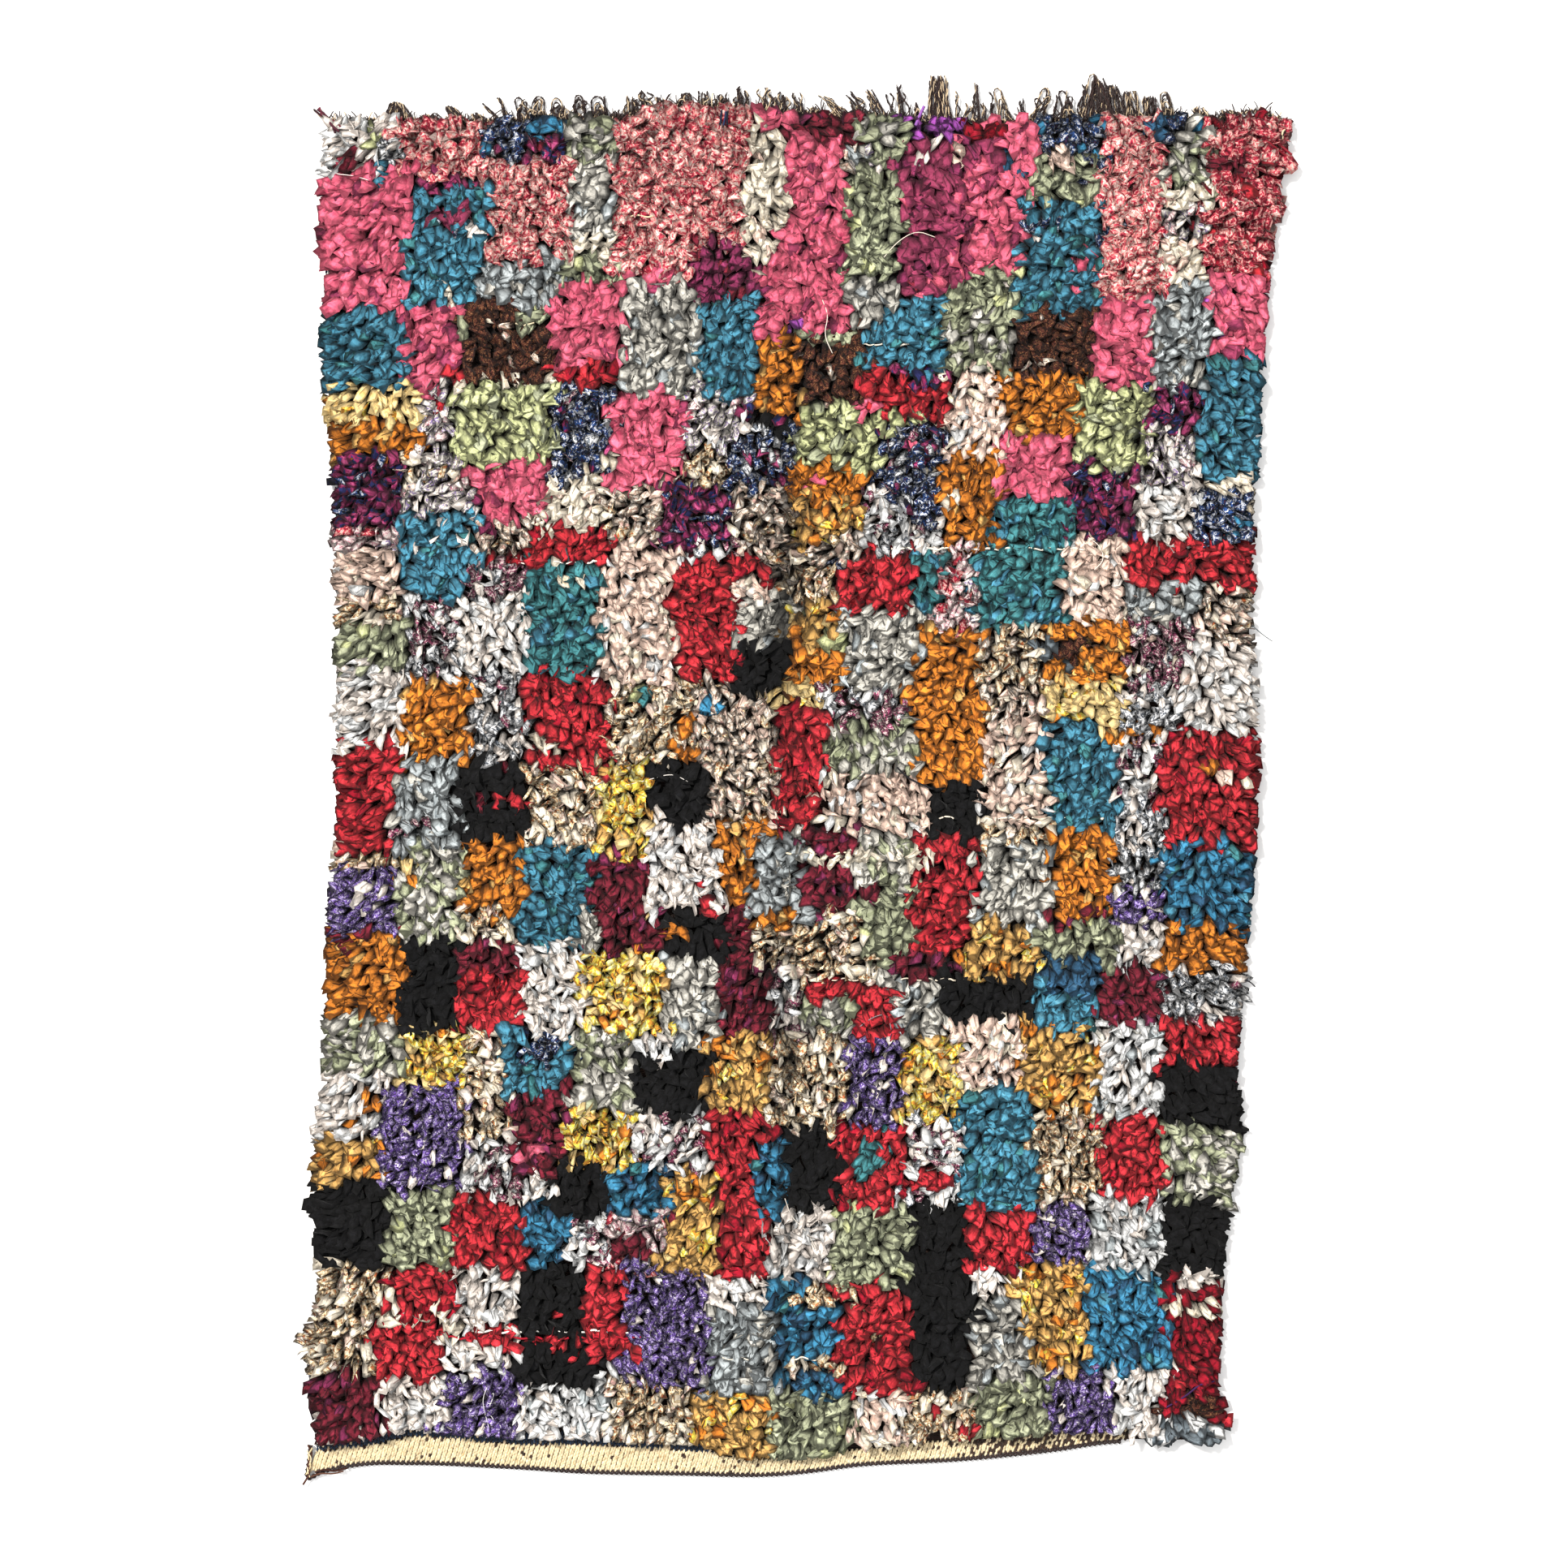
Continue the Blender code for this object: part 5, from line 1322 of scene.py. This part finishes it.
def spin_plies(form, paths, radius, twist, start):
    """Twist two plies round each path, or lay one yarn along it if the twist is 0.

    paths is copies by stations by 3, and start is how much of the twist each path begins with.
    """
    step = np.gradient(paths, axis=1)
    step /= np.linalg.norm(step, axis=2, keepdims=True) + 1e-9
    aside = np.stack([-step[:, :, 1], step[:, :, 0], np.zeros(step.shape[:2])], axis=2)
    aside /= np.linalg.norm(aside, axis=2, keepdims=True) + 1e-9
    above = np.cross(step, aside)
    run = np.linalg.norm(np.diff(paths, axis=1), axis=2)
    run = np.concatenate([np.zeros((len(paths), 1)), np.cumsum(run, axis=1)], axis=1)
    ring = np.rint(form.points[:, 2]).astype(int)
    angle = np.arctan2(form.points[:, 1], form.points[:, 0])
    points, strips = [], []
    for ply in (0.0, math.pi) if twist else (0.0,):
        phase = ply + start[:, None] + (run * (2 * math.pi / twist) if twist else 0.0 * run)
        off = (radius[:, None] if twist else 0.0 * run)[:, :, None]
        centre = paths + (aside * np.cos(phase)[:, :, None] + above * np.sin(phase)[:, :, None]) * off
        turn = (angle[None, :] + phase[:, ring])[:, :, None]
        ply_points = centre[:, ring] + radius[:, None, None] * (
            aside[:, ring] * np.cos(turn) + above[:, ring] * np.sin(turn))
        ply_points[:, :, 2] = np.maximum(ply_points[:, :, 2], 0.02)
        points.append(ply_points)
        uv = np.stack([np.broadcast_to(angle * 0.05, ply_points.shape[:2]), run[:, ring]], axis=2)
        strips.append(uv + rng.uniform(-300.0, 300.0, (len(paths), 1, 2)))
    return np.concatenate(points), np.concatenate(strips)


def even_path(corners, stations):
    """Evenly spaced stations along a smooth line through some corners."""
    corners = np.asarray(corners, dtype=float)
    for _ in range(2):
        cut = np.concatenate([corners[:1], np.repeat(corners[:-1], 2, axis=0) * 0.0, corners[-1:]])
        cut[1:-1:2] = 0.75 * corners[:-1] + 0.25 * corners[1:]
        cut[2:-1:2] = 0.25 * corners[:-1] + 0.75 * corners[1:]
        corners = cut
    run = np.concatenate([[0.0], np.cumsum(np.linalg.norm(np.diff(corners, axis=0), axis=1))])
    at = np.linspace(0.0, run[-1], stations)
    return np.stack([np.interp(at, run, corners[:, k]) for k in range(3)], axis=1)


def warp_paths():
    """Lines of the warp yarns: many loose ends, and loops that turn back into the heading."""
    ends, loops = [], []
    for x, width, tip_x, tip_y, tip_width, count, is_loop in WARP_ENDS:
        base = float(curve(TOP, 1, x)) + 0.1
        tip_y = max(tip_y, base + 0.9)
        tall = tip_y - base
        yarns = max(count, int(round(width / 0.26)))
        if is_loop:
            for k, size in enumerate((1.0, 0.7, 0.86, 0.55)[:rng.integers(2, 5)]):
                half = tip_width / 2 * size * rng.uniform(0.55, 1.0)
                top = tip_y - 0.15 - rng.uniform(0.1, 0.32) * k * tall
                lift = 0.32 + 0.3 * k
                left, right = x - width / 2 * size, x + width / 2 * size
                shift = rng.normal(0.0, 0.45)
                corners = [(left, base - 0.3, 0.3), (mix(left, tip_x - half, 0.6), base + tall * 0.4, lift)]
                for turn in (180.0, 130.0, 90.0, 50.0, 0.0):
                    bend = math.radians(turn)
                    corners.append((tip_x + shift + half * math.cos(bend),
                                    top - half + half * math.sin(bend), lift))
                corners += [(mix(right, tip_x + half, 0.6), base + tall * 0.4, lift), (right, base - 0.3, 0.3)]
                loops.append(even_path(corners, LONG_RINGS))
            yarns = max(1, yarns // 2)
        for k in range(yarns):
            place = (k + 0.5) / yarns - 0.5
            short = rng.uniform(0.0, 0.5) if yarns > 1 and count < 9 else rng.uniform(0.0, 0.15)
            root_x = x + place * width
            end_place = mix(place, rng.uniform(-0.5, 0.5), 0.5)
            end_x = mix(root_x, tip_x + end_place * tip_width, 1.0 - short) + rng.normal(0.0, 0.3)
            end_y = base + tall * (1.0 - short)
            lift = 0.28 + 0.2 * (k % 3)
            sway = rng.normal(0.0, 0.45 if count < 9 else 0.12) * min(tall / 3.0, 1.2)
            corners = [(root_x, base - 0.3, 0.35)]
            for share in (0.3, 0.55, 0.8):
                wave = sway * math.sin(6.28 * (share + 0.2 * k))
                corners.append((mix(root_x, end_x, share) + wave, mix(base, end_y, share), lift))
            corners.append((end_x, end_y, 0.26))
            ends.append(even_path(corners, SHORT_RINGS))
    return np.array(ends), np.array(loops)


def lay_thrums(form, yarn):
    """Short broken ends of warp that stand in the heading between the groups."""
    x = np.arange(-75.0, 78.5, THRUM_PITCH)
    x = x + rng.normal(0.0, 0.15, len(x))
    base = curve(TOP, 1, x) + 0.1
    tall = rng.uniform(0.6, 2.7, len(x)) * (0.75 + 0.35 * lumps(x * 2.0, x * 0.0 + 3.0))
    side = rng.normal(0.0, 0.5, len(x))
    bow = rng.normal(0.0, 0.25, len(x))
    share = np.linspace(0.0, 1.0, RAG_RINGS)[None, :]
    px = x[:, None] + side[:, None] * share * tall[:, None] + bow[:, None] * share * (1 - share) * 4
    py = base[:, None] + tall[:, None] * share
    pz = 0.3 + rng.uniform(0.0, 0.5, (len(x), 1)) * (1 - (2 * share - 0.6) ** 2 * 0.5)
    paths = np.stack([px, py, np.maximum(pz, 0.12)], axis=2)
    points, uv = spin_plies(form, paths, rng.uniform(0.07, 0.1, len(x)), 0.0, np.zeros(len(x)))
    looks = {"tone": rng.normal(0.0, 0.4, len(x)), "variant": (rng.uniform(0, 1, len(x)) < 0.18) * 1.0}
    return join_copies("thrums", form, points, yarn, looks, uv, smooth=True)


def lay_fringe(short_form, long_form, yarn):
    ends, loops = warp_paths()
    pieces = []
    for name, form, paths in (("warp_ends", short_form, ends), ("warp_loops", long_form, loops)):
        copies = len(paths)
        points, uv = spin_plies(form, paths, rng.uniform(0.08, 0.11, copies), 2.1, rng.uniform(0.0, 6.28, copies))
        cream = rng.uniform(0, 1, copies) < 0.42
        looks = {"tone": rng.normal(0.0, 0.35, 2 * copies), "variant": np.concatenate([0.0 * cream, 1.0 * cream])}
        pieces.append(join_copies(name, form, points, yarn, looks, uv, smooth=True))
    return pieces


def lay_cord(form):
    """Two-ply cord along the hem with its tail at the corner, as short runs whose twist carries on."""
    corners = [(x, y, 0.46) for x, y in TAIL]
    for x in np.arange(TAIL[-1][0] + CORD_TURN, CORD_END, 2.0):
        corners.append((x, float(curve(HEM, 1, x)) - CORD_RADIUS + 0.18, 0.46))
    rings = int(form.points[:, 2].max())
    line = even_path(corners, CORD_RUNS * rings + 1)
    runs = np.array([line[k * rings:(k + 1) * rings + 1] for k in range(CORD_RUNS)])
    long = np.linalg.norm(np.diff(runs, axis=1), axis=2).sum(axis=1)
    start = (np.cumsum(long) - long) * 2 * math.pi / CORD_TWIST
    points, uv = spin_plies(form, runs, np.full(CORD_RUNS, CORD_PLY), CORD_TWIST, start)
    looks = {"tone": rng.normal(0.0, 0.2, 2 * CORD_RUNS), "variant": np.zeros(2 * CORD_RUNS)}
    yarn = yarn_finish("cord_wool", CORD_COLOURS, YARN_LIGHT)
    return join_copies("twisted_cord", form, points, yarn, looks, uv, smooth=True)


def rest_height(x, y):
    """How high a loose yarn lies: on the pile, on the hem or over the cord."""
    if y < float(hem_line(x)) + 0.5:
        return 0.75
    if y > float(curve(TOP, 1, x)) - 0.4:
        return 0.6
    return float(pile_top(np.array(x), np.array(y)))


def lay_threads(form):
    """Loose yarns on the pile and picks of weft between its rows."""
    paths, radii, tints = [], [], []
    for tint, thick, *spots in THREADS:
        corners = [(x, y, rest_height(x, y) + 0.1) for x, y in spots]
        paths.append(even_path(corners, LONG_RINGS))
        radii.append(thick / 2)
        tints.append(tint)
    for tint, thick, start, end, level in PICKS:
        spots = np.arange(start, end, 5.5)
        for k, x in enumerate(spots):
            if rng.uniform() < 0.3:
                continue
            stop = min(x + rng.uniform(3.0, 5.5), end)
            corners = []
            for share in np.linspace(0.0, 1.0, 9):
                px = mix(x, stop, share)
                py = level + 0.18 * math.sin(px * 1.9) + rng.normal(0.0, 0.07)
                corners.append((px, py, rest_height(px, py) * rng.uniform(0.8, 0.98)))
            paths.append(even_path(corners, LONG_RINGS))
            radii.append(thick / 2 * rng.uniform(0.7, 1.2))
            tints.append(tint)
    points, uv = spin_plies(form, np.array(paths), np.array(radii), 0.0, np.zeros(len(paths)))
    return dyed_copies("loose_yarns", form, points, uv, tints, True)


# Stage

def build_stage():
    """A pale floor, a broad key light with a soft fill, and the camera straight above."""
    clear_selection()
    bpy.ops.mesh.primitive_plane_add(size=9.0, location=(0.0, 0.0, -0.0005))
    floor = bpy.context.object
    floor.name = "floor"
    material, tree, shader = new_finish("studio_floor")
    shader.inputs["Base Color"].default_value = (0.86, 0.86, 0.86, 1.0)
    shader.inputs["Roughness"].default_value = 0.9
    shader.inputs["Specular IOR Level"].default_value = 0.1
    floor.data.materials.append(material)
    floor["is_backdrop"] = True

    for name, power, softness, spot in (("key", 4.9, 10.0, (-2.2, 2.0, 3.2)), ("fill", 0.6, 60.0, (2.6, -1.6, 3.4))):
        data = bpy.data.lights.new(name, "SUN")
        data.energy = power
        data.color = (1.0, 0.95, 0.9)
        data.angle = math.radians(softness)
        lamp = bpy.data.objects.new(name, data)
        lamp.location = spot
        towards = np.array(spot) * -1.0
        lamp.rotation_euler = (math.atan2(math.hypot(towards[0], towards[1]), -towards[2]), 0.0,
                               math.atan2(towards[1], towards[0]) - math.pi / 2)
        bpy.context.collection.objects.link(lamp)
    world = bpy.data.worlds.new("studio")
    world.use_nodes = True
    world.node_tree.nodes["Background"].inputs["Color"].default_value = (1.0, 1.0, 1.0, 1.0)
    world.node_tree.nodes["Background"].inputs["Strength"].default_value = 1.0
    bpy.context.scene.world = world
    bpy.context.scene.view_settings.view_transform = "Standard"

    data = bpy.data.cameras.new("camera")
    data.lens = 100.0
    wide = 1932 * 0.0013
    camera = bpy.data.objects.new("camera", data)
    camera.location = (-0.0214 - SHIFT[0] * CM, -0.0078 - SHIFT[1] * CM, wide * data.lens / data.sensor_width)
    data.clip_end = 50.0
    bpy.context.collection.objects.link(camera)
    bpy.context.scene.camera = camera


def write_size():
    low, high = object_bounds()
    sizes = {"cad": [list(cad_low), list(cad_high)], "visual": [list(low), list(high)]}


strip, short_yarn, long_yarn, grain = strip_form(RAG_RINGS), strip_form(SHORT_RINGS), strip_form(LONG_RINGS), grain_form()
hem_yarn = yarn_finish("hem_wool", ("3b2a20", "5a4030", "241811", "7a5c44"), HEM_COLOURS)
warp_yarn = yarn_finish("warp_wool", YARN_DARK, YARN_LIGHT)

ground, ground_area = weave_ground()
pile = weave_pile(strip)
hem = list(weave_hem(grain, hem_yarn))
edges = [weave_selvedge(grain), lay_threads(long_yarn)]
heading = weave_heading(grain, warp_yarn)
fringe = [*lay_fringe(short_yarn, long_yarn, warp_yarn), lay_thrums(strip, warp_yarn)]
cord_piece = lay_cord(long_yarn)

for piece in [ground, *pile, *hem, *edges]:
    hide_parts("rug")
for piece in [heading, *fringe]:
    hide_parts("warp_fringe")
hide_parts("end_cord")
on_it = [*pile, *hem, *edges, heading, *fringe, cord_piece]
for piece in [ground, *on_it]:
    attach(piece, "root")

build_stage()
write_size()
